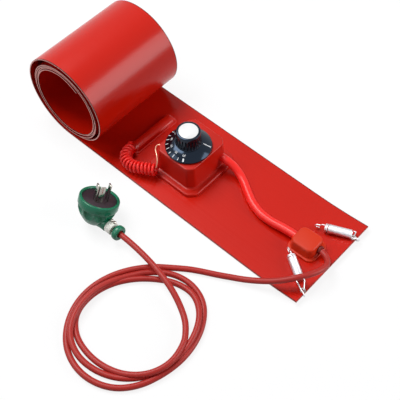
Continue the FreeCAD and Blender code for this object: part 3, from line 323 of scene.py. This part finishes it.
def from_bmesh(name, bm, finish, slot, place=None, outwards=True, **more):
    """Close a bmesh into a piece, turned outwards and moved to its place."""
    bmesh.ops.remove_doubles(bm, verts=bm.verts, dist=1e-6)
    if place:
        bmesh.ops.transform(bm, matrix=place, verts=bm.verts)
    if outwards:
        bmesh.ops.recalc_face_normals(bm, faces=bm.faces)
    mesh = bpy.data.meshes.new(name)
    bm.to_mesh(mesh)
    bm.free()
    return into_scene(name, mesh, finish, slot, **more)


def smooth_copy(node, name, finish, slot, body="heater", sharp=35):
    """A solid's own shape, joined up so that it can be shaded smooth."""
    bm = bmesh.new()
    bm.from_mesh(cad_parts[node].data)
    bmesh.ops.remove_doubles(bm, verts=bm.verts, dist=1e-6)
    mesh = bpy.data.meshes.new(name)
    bm.to_mesh(mesh)
    bm.free()
    mesh.materials.clear()
    return into_scene(name, mesh, finish, slot, body=body, stands_for=[node], sharp=sharp)


print("solids in the frame:", len(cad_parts))

# %% [markdown]
# ## The cords
# A cord is one spline with a round bevel, as a real one is one length of something flexible. Its
# control points follow the route that the solids take, so the spline lies where they lie.

# %% A cord from its points


def spline_from(name, points, width, resolution=6, sides=5):
    """A round cord along a smooth spline through its points' neighbourhood."""
    curve = bpy.data.curves.new(name, "CURVE")
    curve.dimensions = "3D"
    curve.bevel_depth = width * MM / 2
    curve.bevel_resolution = sides
    curve.use_fill_caps = True
    spline = curve.splines.new("NURBS")
    spline.points.add(len(points) - 1)
    for point, place in zip(spline.points, points):
        point.co = (*place, 1)
    spline.order_u = 3
    spline.use_endpoint_u = True
    spline.resolution_u = resolution
    obj = bpy.data.objects.new(name, curve)
    scene.collection.objects.link(obj)
    return obj


def line_of(points, resolution=12):
    """The same spline without its width, as a list of places."""
    obj = spline_from("guide", points, 0, resolution)
    obj.data.use_fill_caps = False
    mesh = bpy.data.meshes.new_from_object(obj)
    places = [v.co.copy() for v in mesh.vertices]
    bpy.data.objects.remove(obj)
    bpy.data.meshes.remove(mesh)
    return places


def length_of(places):
    return sum((b - a).length for a, b in zip(places, places[1:]))


# %% [markdown]
# The mains cord leaves the block at the free end, turns back under its own weight and lies on
# the table in two and a half loose rings. Its last stretch crosses over them and ends in the
# plug. The rings were read from the picture, strand by strand: where two strands lie
# closer than the cord is wide, one of them rests on the other.

# %% Mains cord
CORD = 6.6
lead = [
    (-25.85, 0.8, 11.15), (-12.09, 0.8, 12.15), (-1.4, -8.4, 14.4), (-0.6, -21.6, 18.6),
    (-5.2, -34.6, 21.4), (-12.6, -46.4, 21.4), (-22.2, -56.4, 17.8), (-33, -64.2, 13),
    (-45.2, -71.2, 8.6), (-58.2, -78, 5.2), (-70.6, -84.3, 3.8), (-83.4, -91.6, 3.4),
    (-96.4, -98.4, 3.4), (-108.4, -105.4, 3.4), (-119, -113.2, 3.4)]
outer_ring = [
    (-128.6, -120.6, 3.4), (-139.1, -128.8, 3.4), (-154.5, -147.0, 3.4), (-165.4, -168.4, 3.4),
    (-170.1, -192.0, 3.4), (-167.1, -215.8, 3.4), (-156.5, -237.4, 3.4), (-139.5, -254.3, 3.4),
    (-117.3, -263.2, 3.4), (-93.3, -262.7, 3.4), (-71.5, -252.9, 3.4), (-56.1, -234.5, 3.4),
    (-47.8, -211.9, 3.4), (-44.0, -188.1, 3.4), (-46.6, -164.2, 3.4), (-55.5, -141.9, 3.4)]
middle_ring = [
    (-71.5, -124.1, 3.4), (-94.2, -116.7, 3.4), (-117.7, -120.8, 3.4), (-137.0, -135.0, 3.4),
    (-150.5, -154.9, 4.3), (-160.4, -176.7, 6.9), (-163.3, -200.4, 8.9), (-158.6, -224.0, 9.0),
    (-145.6, -244.0, 7.5), (-124.1, -253.8, 4.7), (-100.2, -252.8, 3.4), (-77.8, -244.0, 3.5),
    (-60.3, -227.7, 3.6), (-50.2, -205.9, 3.6), (-47.4, -182.0, 5.2), (-51.6, -158.5, 7.6)]
inner_ring = [
    (-63.7, -137.9, 8.0), (-83.6, -124.9, 5.9), (-107.2, -126.7, 4.1), (-128.2, -138.4, 3.4),
    (-145.9, -154.8, 3.4), (-158.5, -175.2, 3.5), (-163.6, -198.7, 3.8), (-159.4, -222.2, 3.7),
    (-142.4, -238.7, 3.4), (-119.2, -245.1, 3.4), (-95.2, -244.3, 4.1), (-72.6, -236.3, 6.0),
    (-55.1, -220.2, 8.2), (-47.4, -197.7, 9.5), (-52.6, -174.5, 8.8)]
to_plug = [
    (-60.4, -163.5, 8.2), (-69.8, -154.2, 8), (-82.4, -147.0, 9.2), (-95.6, -141.6, 12.2),
    (-109.4, -137.4, 14.2), (-124.2, -134, 14.4), (-139.4, -131.2, 14.4), (-154.4, -129.4, 14.4),
    (-168, -128.1, 13.8), (-182.16, -127.3, 13.19), (-194.14, -127.3, 12.59)]
cord_route = [at(*p) for p in lead + outer_ring + middle_ring + inner_ring + to_plug]
cord_line = line_of(cord_route)
mains_cord = spline_from("mains_cord", cord_route, CORD, 8, 6)
mains_cord.data.materials.append(cord_jacket)
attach(mains_cord, "heater")
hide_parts("mains_cord_lead", "mains_cord_coil", "mains_cord_tail")
print("mains cord:", round(length_of(cord_line), 3), "m")

# %% [markdown]
# The leads of the heating wire run from the boot to the block in a bright red sleeve that
# lies on the band.

# %% Lead sleeve
sleeve_route = [at(*p) for p in [
    (-177.5, 21, 17.5), (-168, 21, 17.5), (-158.5, 22.3, 13.9), (-149, 21.4, 9.25), (-139, 17.4, 6.75),
    (-128, 10.5, 6.45), (-113, 1.6, 6.45), (-98, -3.2, 6.45), (-82, -3.6, 6.45),
    (-62.45, -1, 8.40), (-46.99, -1, 9.52)]]
lead_sleeve = spline_from("sleeved_lead", sleeve_route, 9.6, 10, 8)
lead_sleeve.data.materials.append(sleeve_silicone)
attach(lead_sleeve, "heater")
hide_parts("lead_sleeve")
sleeve_length = length_of(line_of(sleeve_route))
print("lead sleeve:", round(sleeve_length, 3), "m")

# %% [markdown]
# The capillary of the thermostat is a thin copper tube. The spare length is wound into a curl,
# and it wears a red sleeve there. The curl's own line is the route of the fat tube in the solids,
# and the winding is worked out round it, twelve points to a turn, so that the curl is one cord
# and no row of rings.

# %% Curled capillary sleeve
CURL_WIRE, CURL_RADIUS, CURL_TURNS = 3.3, 5.85, 15
curl_route = [at(*p) for p in [
    (-264.7, -31.05, 9.15), (-264.7, -40.55, 9.15), (-259.7, -48.55, 9.15), (-250.7, -52.55, 9.55),
    (-240.2, -51.45, 10.9), (-228.8, -45.35, 13.2), (-217.8, -39.95, 14.0)]]


def wound_round(route, radius, turns, per_turn=12):
    """Points of a winding round a route, kept from twisting by carrying one direction along."""
    line = line_of(route, 24)
    marks = [0.0]
    for a, b in zip(line, line[1:]):
        marks.append(marks[-1] + (b - a).length)
    side, points, k = Vector((0, 0, 1)), [], 0
    count = turns * per_turn
    for i in range(count + 1):
        far = marks[-1] * i / count
        while k < len(line) - 2 and marks[k + 1] < far:
            k += 1
        step = line[k + 1] - line[k]
        ahead = step.normalized()
        place = line[k] + step * ((far - marks[k]) / (marks[k + 1] - marks[k]))
        side = (side - ahead * side.dot(ahead)).normalized()
        angle = 2 * pi * i / per_turn
        points.append(place + (side * cos(angle) + ahead.cross(side) * sin(angle)) * radius * MM)
    return points


curl_points = wound_round(curl_route, CURL_RADIUS, CURL_TURNS)
capillary_curl = spline_from("capillary_curl", curl_points, CURL_WIRE, 3, 4)
capillary_curl.data.materials.append(sleeve_silicone)
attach(capillary_curl, "heater")
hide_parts("capillary_coil")
curl_length = length_of(line_of(curl_points))
print("curled sleeve:", round(curl_length, 3), "m in", CURL_TURNS, "turns")

# %% Bare capillary
tail_route = [at(*p) for p in [
    (-218.4, -40.6, 19.6), (-218.2, -38.2, 25.5), (-222.6, -33.9, 30.4), (-231.8, -28, 30.6),
    (-233.4, -20.33, 30.8), (-227, -20.33, 30.8)]]
capillary_tail = spline_from("bare_capillary", tail_route, 1.6, 8, 4)
capillary_tail.data.materials.append(capillary_copper)
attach(capillary_tail, "heater")
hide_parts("capillary_tail")
tail_length = length_of(line_of(tail_route))
print("bare capillary:", round(tail_length, 3), "m")

# %% [markdown]
# ## The band
# The band is a sheet of silicone rubber with the heating wire cast inside. Its side view is one
# line: a free end that curls up a little, a long flat stretch, and the roll, whose turns get
# tighter inwards. An edge across the width is drawn along that line, spun round the middle of
# each bend, and the sheet then gets its thickness. The solids are built from the same numbers.

# %% The line of the band
WIDE, THICK, LONG = 125.0, 1.6, 1740.0
# The free end curls up by RISE over a length of CURL, and the roll begins at ROLL_AT.
CURL, RISE, ROLL_AT = 70.0, 5.0, 337.9
# The radii of the outer turn and of the next one, and the gap between turns.
OUTER, INNER, GAP = 55.6, 49.525, 0.25
# The inner end bends in a little, over a length of TAIL, and is straight at last.
TAIL, TAIL_R, TAIL_FLAT = 26.0, 36.0, 9.0
# A strip of this width runs all round the sheet and carries the painted edge shade.
RIM = 0.9
pitch = THICK + GAP
curl_r = (CURL ** 2 + RISE ** 2) / 2 / RISE
runs = [(RIM, curl_r), (curl_r * asin(CURL / curl_r) - RIM, curl_r), (ROLL_AT - CURL, None),
        (pi * OUTER, OUTER)]
# The second half of the outer turn comes down onto the next one by a short straight run.
drop = OUTER - pitch / 2
slack = OUTER - INNER - pitch
runs += [(pi * drop, drop), (sqrt((slack + 0.6 * GAP) ** 2 - slack ** 2), None)]
left = LONG - sum(run[0] for run in runs) - TAIL - TAIL_FLAT
turn_r = INNER
while left > 0:
    runs.append((min(left, pi * turn_r), turn_r))
    left -= runs[-1][0]
    turn_r -= pitch / 2
runs += [(TAIL, TAIL_R), (TAIL_FLAT - RIM, None), (RIM, None)]
print("runs:", len(runs), "length", round(sum(run[0] for run in runs), 1), "mm")

# %% [markdown]
# The edge travels along those runs, and each run is a length and a radius, or a straight piece
# without one. Some turns of the roll lie a little to the side of the one outside them, as in
# the picture, so the spin also carries the edge across: that is what the spin's dvec is for. The
# outermost strip of faces, RIM wide, is painted a dark red: painted shade along the sheet's edges.

# %% The sheet
bm = bmesh.new()
ACROSS, STEP_ANGLE, STRAIGHT_STEP = 10, 3.2, 20
heading = pi + asin(CURL / curl_r)
here = Vector((END, 0, THICK / 2 + RISE))
places = [WIDE * (i / ACROSS - 0.5) for i in range(1, ACROSS)]
places = [-WIDE / 2, RIM - WIDE / 2] + places + [WIDE / 2 - RIM, WIDE / 2]
row = [bm.verts.new((here.x, y, here.z)) for y in places]
edges = [bm.edges.new((a, b)) for a, b in zip(row, row[1:])]
# How far each run of the roll drifts across, in millimetres, by its place in the list of runs.
DRIFT = {4: 3.0, 6: -0.9, 7: -0.7, 8: 1.1, 9: 0.9, 10: -0.9, 11: -0.8}
for index, (length, radius) in enumerate(runs):
    ahead = Vector((cos(heading), 0, sin(heading)))
    inward = Vector((sin(heading), 0, -cos(heading)))
    sideways = DRIFT.get(index, 0.0)
    if radius:
        steps = max(2, int(length / radius / radians(STEP_ANGLE)) + 1)
        made = bmesh.ops.spin(bm, geom=edges, cent=here + inward * radius, axis=(0, 1, 0),
                              angle=length / radius, steps=steps, dvec=(0, sideways / steps, 0))
        bend = length / radius
        here = here + ahead * radius * sin(bend) + inward * radius * (1 - cos(bend))
        heading -= bend
        last = made["geom_last"]
    else:
        last = list(edges)
        parts = max(1, round(length / STRAIGHT_STEP))
        for _ in range(parts):
            last = bmesh.ops.extrude_edge_only(bm, edges=only(bmesh.types.BMEdge, last))["geom"]
            bmesh.ops.translate(bm, verts=only(bmesh.types.BMVert, last),
                                vec=ahead * length / parts + Vector((0, sideways / parts, 0)))
        here = here + ahead * length
    # The next run starts from the edges that lie across the band, at its newest end.
    edges = [e for e in only(bmesh.types.BMEdge, last)
             if abs((e.verts[0].co - e.verts[1].co).normalized().y) > 0.9]
    if radius is None:
        ends = sorted({v for e in edges for v in e.verts}, key=lambda v: (v.co - here).xz.length)
        edges = [e for e in edges if set(e.verts) <= set(ends[:len(row)])]
# The faces along the sheet's border take the dark finish: painted shade along its edges.
EDGE_SHADE_SLOT = 2
for face in bm.faces:
    if any(e.is_boundary for e in face.edges):
        face.material_index = EDGE_SHADE_SLOT
print("inner end at", [round(v, 1) for v in here], "faces", len(bm.faces))

# %% [markdown]
# A Solidify modifier gives the sheet its thickness, half of it to each side, with the pale cut
# edge, a painted highlight, as the finish of its narrow sides: that is what its material offset
# does, and why the cut edge comes after the sheet and again after the painted edge shade. The
# edges are then broken by a small bevel.

# %% Thickness and edges
bmesh.ops.transform(bm, matrix=Matrix.Scale(MM, 4), verts=bm.verts)
sheet_mesh = bpy.data.meshes.new("band_sheet")
bm.to_mesh(sheet_mesh)
bm.free()
sheet = bpy.data.objects.new("band_sheet", sheet_mesh)
scene.collection.objects.link(sheet)
# The sheet, its cut sides painted pale as a highlight, the border strip painted dark as shade, and
# that strip's cut sides.
for finish in (band_silicone, cut_edge_highlight, edge_shade, cut_edge_highlight):
    sheet_mesh.materials.append(finish)
wall = sheet.modifiers.new("wall", "SOLIDIFY")
wall.thickness = THICK * MM
wall.offset = 0
wall.material_offset_rim = 1


def baked(obj):
    """The mesh that an object's modifiers make."""
    bpy.context.view_layer.update()
    return bpy.data.meshes.new_from_object(obj.evaluated_get(bpy.context.evaluated_depsgraph_get()))


solid_band = baked(sheet)
bpy.data.objects.remove(sheet)
band = into_scene("silicone_band", solid_band, band_silicone, "band_silicone",
                  stands_for=["heater_band"], sharp=30)
edge = band.modifiers.new("broken edges", "BEVEL")
edge.width = 0.25 * MM
edge.segments = 3
# The bevel's faces take the dark finish too: painted shade in the gaps between the turns.
edge.material = EDGE_SHADE_SLOT
edge.use_clamp_overlap = False
edge.limit_method = "ANGLE"
edge.angle_limit = radians(60)
print("band faces:", len(solid_band.polygons))

# %% [markdown]
# ## Moulded silicone pieces
# The boot, the sensor cover and the block are all cast in open moulds: a rounded
# outline that goes up in levels. One helper starts from a flat rectangle with rounded corners and
# extrudes it level by level, each with its own size, which is also how such a mould is milled.

# %% Levels of a moulding


def moulded(outline, corner, levels, soft=3.0):
    """A rectangle with cut, softened corners, then levels as (height, grow along, grow across)."""
    bm = bmesh.new()
    half_x, half_y = outline[0] / 2, outline[1] / 2
    bmesh.ops.create_grid(bm, x_segments=1, y_segments=1, size=1)
    bmesh.ops.scale(bm, vec=(half_x, half_y, 1), verts=bm.verts)
    for offset, segments in ((corner, 1), (soft, 5)):
        bmesh.ops.bevel(bm, geom=bm.verts[:], offset=offset, offset_type="OFFSET", segments=segments,
                        profile=0.5, affect="VERTICES", material=-1)
    face = next(iter(bm.faces))
    bmesh.ops.translate(bm, verts=bm.verts, vec=(0, 0, levels[0][0]))
    size_x, size_y = half_x, half_y
    for height, grow_x, grow_y in levels[1:]:
        made = bmesh.ops.extrude_face_region(bm, geom=[face])
        face = next(g for g in made["geom"] if isinstance(g, bmesh.types.BMFace))
        new_x, new_y = half_x + grow_x, half_y + grow_y
        bmesh.ops.scale(bm, vec=(new_x / size_x, new_y / size_y, 1), verts=face.verts)
        size_x, size_y = new_x, new_y
        lift = height - face.verts[0].co.z
        bmesh.ops.translate(bm, verts=face.verts, vec=(0, 0, lift))
    return bm


# %% Thermostat boot
BOOT_X, BOOT_TOP = -202.5, 37.0
flange_levels = [(1.62, 0, 0), (3.4, 0, 0), (4.9, -0.4, -0.4), (5.4, -1.0, -1.0), (5.6, -1.8, -1.8),
                 (5.7, -5.6, -5.8)]
wall_levels = [(6.1, -6.9, -7.1), (7.2, -7.5, -7.6), (20, -8.8, -8.0), (35.2, -10.3, -8.5)]
brim_levels = [(36.2, -10.5, -8.7), (36.7, -10.9, -9.1), (36.95, -11.5, -9.7),
               (BOOT_TOP, -12.5, -10.7)]
bm = moulded((73, 78), 8.5, flange_levels + wall_levels + brim_levels, 2.5)
boot = from_bmesh("silicone_boot", bm, boot_silicone, "moulded_silicone",
                  place=Matrix.Translation(at(BOOT_X, 0, 0)) @ Matrix.Scale(MM, 4),
                  stands_for=["thermostat_boot"], sharp=40)

# %% Sensor cover
bm = moulded((17, 69), 3, [(1.62, 0, 0), (2.4, -0.4, -0.4), (3.0, -1.6, -1.6), (5.4, -2.4, -2.6),
                           (6.8, -3.4, -3.6), (7.4, -5.2, -5.4)], 1.5)
cover = from_bmesh("sensor_pad", bm, band_silicone, "moulded_silicone",
                   place=Matrix.Translation(at(-264.7, 1.5, 0)) @ Matrix.Scale(MM, 4),
                   stands_for=["sensor_cover"], sharp=40)

# %% Junction block
block_place = frame_of((161.22, -1, 3.254), (0.9974, 0, 0.0722), (0, 1, 0), (-0.0722, 0, 0.9974))
base_levels = [(0, 0, 0), (1.6, 0, 0), (2.1, -0.5, -0.5), (2.3, -1.8, -1.8), (3.2, -2.4, -2.4)]
block_levels = [(12.6, -3.2, -3.2), (14.1, -3.7, -3.7), (14.8, -4.6, -4.6), (15, -5.9, -5.9)]
bm = moulded((35.4, 31.4), 5, base_levels + block_levels, 2.5)
block = from_bmesh("silicone_block", bm, block_silicone, "moulded_silicone", place=block_place,
                   stands_for=["junction_block", "junction_base"], sharp=40)

# %% [markdown]
# ## The knob
# A knob like this is moulded in one piece: a cone-shaped scale disc, a fluted grip and a plain
# crown that holds the pale disc. The scale disc is an outline spun round the axis. The grip is a
# ring pushed up level by level, and each level says how deep its flutes are.

# %% Scale disc and grip
KNOB_PLACE = Matrix.Translation(at(BOOT_X, -4, 38.3)) @ Matrix.Scale(MM, 4)
CONE_OUT, CONE_IN = (25.9, 1.7), (15.6, 7.1)
FLUTES = 24


def turned(outline, steps=96):
    """Spin an outline of (radius, height) round the Z axis."""
    bm = bmesh.new()
    verts = [bm.verts.new((r, 0, z)) for r, z in outline]
    edges = [bm.edges.new(pair) for pair in zip(verts, verts[1:])]
    bmesh.ops.spin(bm, geom=verts + edges, cent=(0, 0, 0), axis=(0, 0, 1), angle=2 * pi, steps=steps)
    return bm


bm = turned([(14, 7.2), (14, 6.0), (24.6, 0), (25.9, 0), (26.2, 0.3), (26.2, 1.3), CONE_OUT, CONE_IN,
             (15.0, 7.2), (14, 7.2)], 128)
bmesh.ops.remove_doubles(bm, verts=bm.verts, dist=1e-4)
ring = bmesh.ops.create_circle(bm, segments=FLUTES * 8, radius=14.9,
                               matrix=Matrix.Translation((0, 0, 6.9)))["verts"]
edges = [e for e in bm.edges if e.verts[0] in ring and e.verts[1] in ring]
# Each level is a height, a radius and the depth of the flutes there.
grip_levels = [(7.4, 14.55, 0), (8.1, 14.3, 0.1), (9.2, 14.25, 0.9), (20.4, 13.8, 0.9),
               (21.4, 13.75, 0.1), (21.7, 13.7, 0), (24.5, 13.55, 0), (25.1, 13.35, 0),
               (25.4, 12.9, 0), (25.4, 11.2, 0), (24.6, 11.1, 0)]
for height, radius, depth in grip_levels:
    made = bmesh.ops.extrude_edge_only(bm, edges=edges)["geom"]
    ring = set(only(bmesh.types.BMVert, made))
    edges = [e for e in only(bmesh.types.BMEdge, made) if set(e.verts) <= ring]
    for v in ring:
        angle = atan2(v.co.y, v.co.x)
        away = radius - depth * max(0.0, cos(FLUTES * angle)) ** 0.6
        v.co = (away * cos(angle), away * sin(angle), height)
bmesh.ops.holes_fill(bm, edges=edges, sides=FLUTES * 8)
knob = from_bmesh("fluted_knob", bm, phenolic, "black_plastic", place=KNOB_PLACE, body="knob",
                  stands_for=["control_knob"], sharp=40)

# %% [markdown]
# The scale is printed in white on the cone: a short line every 15 degrees, a number at every
# second one, a wide line where it begins and a long pointer line. The lines and the
# numbers are thin pieces laid on the slope, so one matrix that tilts with the cone places them all.

# %% Marks on the scale disc
FALL, REACH = CONE_IN[1] - CONE_OUT[1], CONE_OUT[0] - CONE_IN[0]
SLOPE = atan2(FALL, REACH)
# In degrees: the first line, the way from one line to the next, and the pointer line.
FIRST, STEP, POINTER = 298, -15, 32
TICK_OUT, LONG_TICK, SHORT_TICK, NUMBER_AT, NUMBER_SIZE = 25.6, 21.9, 22.4, 19.1, 3.7


def on_cone(angle, radius):
    """Matrix at a place on the cone: X outwards and down the slope, Y round it, Z off it."""
    height = CONE_OUT[1] + (CONE_OUT[0] - radius) * FALL / REACH + 0.03
    return (Matrix.Rotation(radians(angle), 4, "Z") @ Matrix.Translation((radius, 0, height))
            @ Matrix.Rotation(SLOPE, 4, "Y"))


marks = bmesh.new()


def mark(angle, inner, outer, width):
    bar = Matrix.Diagonal((outer - inner, width, 0.1, 1))
    bmesh.ops.create_cube(marks, size=1, matrix=on_cone(angle, (inner + outer) / 2) @ bar)


for i in range(13):
    mark(FIRST + STEP * i, SHORT_TICK if i % 2 else LONG_TICK, TICK_OUT, 0.75 if i else 1.7)
mark(POINTER, 15.8, TICK_OUT, 1.3)
for i, number in enumerate(["30", "50", "70", "90", "110", "130", "150"]):
    words = bpy.data.curves.new("number", "FONT")
    words.body, words.size, words.extrude = number, NUMBER_SIZE, 0.05
    words.align_x, words.align_y = "CENTER", "CENTER"
    words.resolution_u = 3
    obj = bpy.data.objects.new("number", words)
    scene.collection.objects.link(obj)
    flat = bpy.data.meshes.new_from_object(obj)
    flat.transform(on_cone(FIRST + STEP * 2 * i, NUMBER_AT) @ Matrix.Rotation(-pi / 2, 4, "Z"))
    marks.from_mesh(flat)
    bpy.data.objects.remove(obj)
    bpy.data.meshes.remove(flat)
dial = from_bmesh("dial_marks", marks, white_paint, "white_plastic", place=KNOB_PLACE, body="knob",
                  sharp=30)

# %% [markdown]
# ## The plug
# The head of the plug is turned: a straight band at the rim and a bowl below it. Ten finger
# scallops are sunk in the bowl, each the mark of an upright cylinder, so a point of the bowl is
# drawn in to the cylinder's near side wherever it would lie inside it. Its outline runs so that
# the faces already point outwards.

# %% Head, neck and collar of the plug
PLUG_PLACE = frame_of((END - 228.65, -116.3, 31.63), (0.9987, 0, 0.0506),
                      (0.0237, 0.8838, -0.4673), (-0.0447, 0.4679, 0.8826))
rim = [(0, -6.5), (19.05, -6.5), (19.05, -0.9), (19.5, -0.2), (20.2, 0), (21.6, 0), (22.2, -0.35),
       (22.5, -1.1), (22.5, -8.6)]
bowl = [(22.1, -9.4), (21.9, -9.8), (21.75, -10.4), (21.5, -11.6), (21.2, -13), (20.8, -14.5),
        (20.3, -16), (19.7, -17.5), (19.0, -19), (18.2, -20.5), (17.3, -22), (16.3, -23.5),
        (15.2, -25), (14.0, -26.5), (12.8, -28), (11.6, -29.3), (10.4, -30), (0, -30.1)]
bm = turned(rim + bowl, 200)
CUT_AT, CUT_R, BOWL_TOP, BOWL_FLOOR_R = 26.5, 8.3, -9.6, 12
for v in bm.verts:
    out, angle = v.co.xy.length, atan2(v.co.y, v.co.x)
    off = (angle + pi / 10) % (pi / 5) - pi / 10
    if v.co.z < BOWL_TOP and out > BOWL_FLOOR_R and CUT_AT * abs(sin(off)) < CUT_R:
        near = CUT_AT * cos(off) - sqrt(CUT_R ** 2 - (CUT_AT * sin(off)) ** 2)
        if near < out:
            v.co.xy *= near / out
NECK_DOWN, NECK_END = -23.5, 21
neck = turned([(3.7, 17), (3.7, NECK_END), (7.0, NECK_END), (7.45, 20.7), (7.6, 20.2), (7.7, 14),
               (8.4, 9), (9.4, 4)], 64)
sideways_on = Matrix.Translation((0, 0, NECK_DOWN)) @ Matrix.Rotation(pi / 2, 4, "Y")
bmesh.ops.transform(neck, verts=neck.verts, matrix=sideways_on)
neck_mesh = bpy.data.meshes.new("neck")
neck.to_mesh(neck_mesh)
neck.free()
bm.from_mesh(neck_mesh)
plug_body = from_bmesh("plug_body", bm, plug_green, "plug_green", place=PLUG_PLACE, outwards=False,
                       stands_for=["plug_shell"], sharp=28)

CLAMP_LONG, CLAMP_TO_COLLAR = 8.5, 3
bm = turned([(3.9, 0.3), (6.4, 0), (7.6, 0.3), (8.3, 1.1), (8.6, 2.3), (8.6, 4.7), (8.3, 5.9),
             (7.6, 6.7), (6.4, 7), (5.2, 6.8), (4.5, 6.2), (4.3, 5.2), (3.9, 3), (3.9, 0.3)], 64)
along_cord = Matrix.Translation((NECK_END + CLAMP_LONG + CLAMP_TO_COLLAR, 0, 0)) @ sideways_on
collar = from_bmesh("plug_end_collar", bm, plug_green, "plug_green", place=PLUG_PLACE @ along_cord,
                    stands_for=["plug_collar"], sharp=35)

# %% [markdown]
# ## Other pieces
# The solids of these are copied, joined up and shaded smooth.

# %% Other pieces from their solids
for node, name, finish, slot, body in [
        # the grommet wears the gland's painted shade
        ("cord_grommet", "grommet", gland_shade, "bright_silicone", "heater"),
        ("knob_cap", "knob_disc", white_disc, "white_plastic", "knob"),
        ("thermostat_shaft", "shaft", plate_steel, "screw_steel", "knob"),
        ("plug_insert", "plug_face", plug_dark, "plug_dark", "heater"),
        ("plug_clamp", "plug_cord_clamp", clamp_cream, "clamp_cream", "heater"),
        ("plug_clamp_screws", "plug_screws", plated_brass, "screw_steel", "heater"),
        ("plug_pin_earth", "earth_pin", plated_brass, "pin_metal", "heater"),
        ("plug_pin_live", "live_pin", plated_brass, "pin_metal", "heater"),
        ("plug_pin_neutral", "neutral_pin", plated_brass, "pin_metal", "heater"),
        ("end_eyelets", "end_eyelet_pair", eyelet_metal, "eyelet_metal", "heater"),
        ("inner_end_eyelets", "inner_eyelet_pair", eyelet_metal, "eyelet_metal", "heater"),
        ("rear_spring_root", "rear_root", spring_wire, "spring_steel", "rear_spring"),
        ("rear_spring_hook", "rear_hook_wire", spring_wire, "spring_steel", "rear_hook"),
        ("front_spring_root", "front_root", spring_wire, "spring_steel", "front_spring"),
        ("front_spring_hook", "front_hook_wire", spring_wire, "spring_steel", "front_hook")]:
    smooth_copy(node, name, finish, slot, body)

# %% [markdown]
# Each spring is a wire wound close, turn on turn, with one open turn near its hook. A ring of the
# wire's section is spun round the spring's axis, and every step of the spin carries it along by
# its share of the pitch: dvec again.

# %% Spring bodies
SPRING_R, WIRE_R, BODY = 4.3, 0.7, 30.8
# For each spring: how far from its eyelet the turns start, how high their axis lies, its frame.
springs = {
    "rear": (4.2, 6.497, frame_of((195.043, 41.326, 5.301), (0.92731, 0.36154, 0.09686),
                                  (-0.36325, 0.93169, 0), (-0.09025, -0.03519, 0.9953))),
    "front": (14.6, 6.126, frame_of((194.725, -48.633, 5.301), (0.82673, -0.55764, 0.07453),
                                    (0.55919, 0.82904, 0), (-0.06179, 0.04168, 0.99722)))}
PER_TURN, STIFF_END = 24, 2
CLOSE, OPEN, LAST, OPEN_PITCH = 19.5, 0.75, 1.25, 2.9
CLOSE_PITCH = (BODY - 2 * WIRE_R - OPEN * OPEN_PITCH) / (CLOSE + LAST)
for which, (start, lift, place) in springs.items():
    bm = bmesh.new()
    ring = bmesh.ops.create_circle(bm, segments=10, radius=WIRE_R)["verts"]
    bmesh.ops.rotate(bm, verts=ring, matrix=Matrix.Rotation(pi / 2, 3, "X"), cent=(0, 0, 0))
    bmesh.ops.translate(bm, verts=ring, vec=(-start - WIRE_R, 0, lift + SPRING_R))
    edges = bm.edges[:]
    for turns, pitch in ((CLOSE, -CLOSE_PITCH), (OPEN, -OPEN_PITCH), (LAST, -CLOSE_PITCH)):
        made = bmesh.ops.spin(bm, geom=edges, cent=(0, 0, lift), axis=(1, 0, 0), angle=turns * 2 * pi,
                              steps=round(turns * PER_TURN), dvec=(pitch / PER_TURN, 0, 0))
        edges = only(bmesh.types.BMEdge, made["geom_last"])
    bmesh.ops.holes_fill(bm, edges=bm.edges[:], sides=10)
    coil = from_bmesh(f"{which}_spring_turns", bm, spring_wire, "spring_steel", place=place, body=None,
                      stands_for=[f"{which}_spring_coil"], sharp=60)
    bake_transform(coil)

# %% [markdown]
# ## The insides
# What sits inside the boot is not seen, but it is there: the case of the thermostat, its plate,
# screws and terminals, and the bulb under its cover.

# %% Materials on the solids that stay
insides = {"thermostat_body": thermoset, "thermostat_plate": plate_steel,
           "thermostat_screws": plate_steel, "thermostat_terminals": plated_brass,
           "sensor_bulb": capillary_copper}
for node, finish in insides.items():
    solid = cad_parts[node]
    solid.data.materials.clear()
    solid.data.materials.append(finish)
print("solids shown as they are:", len(insides))
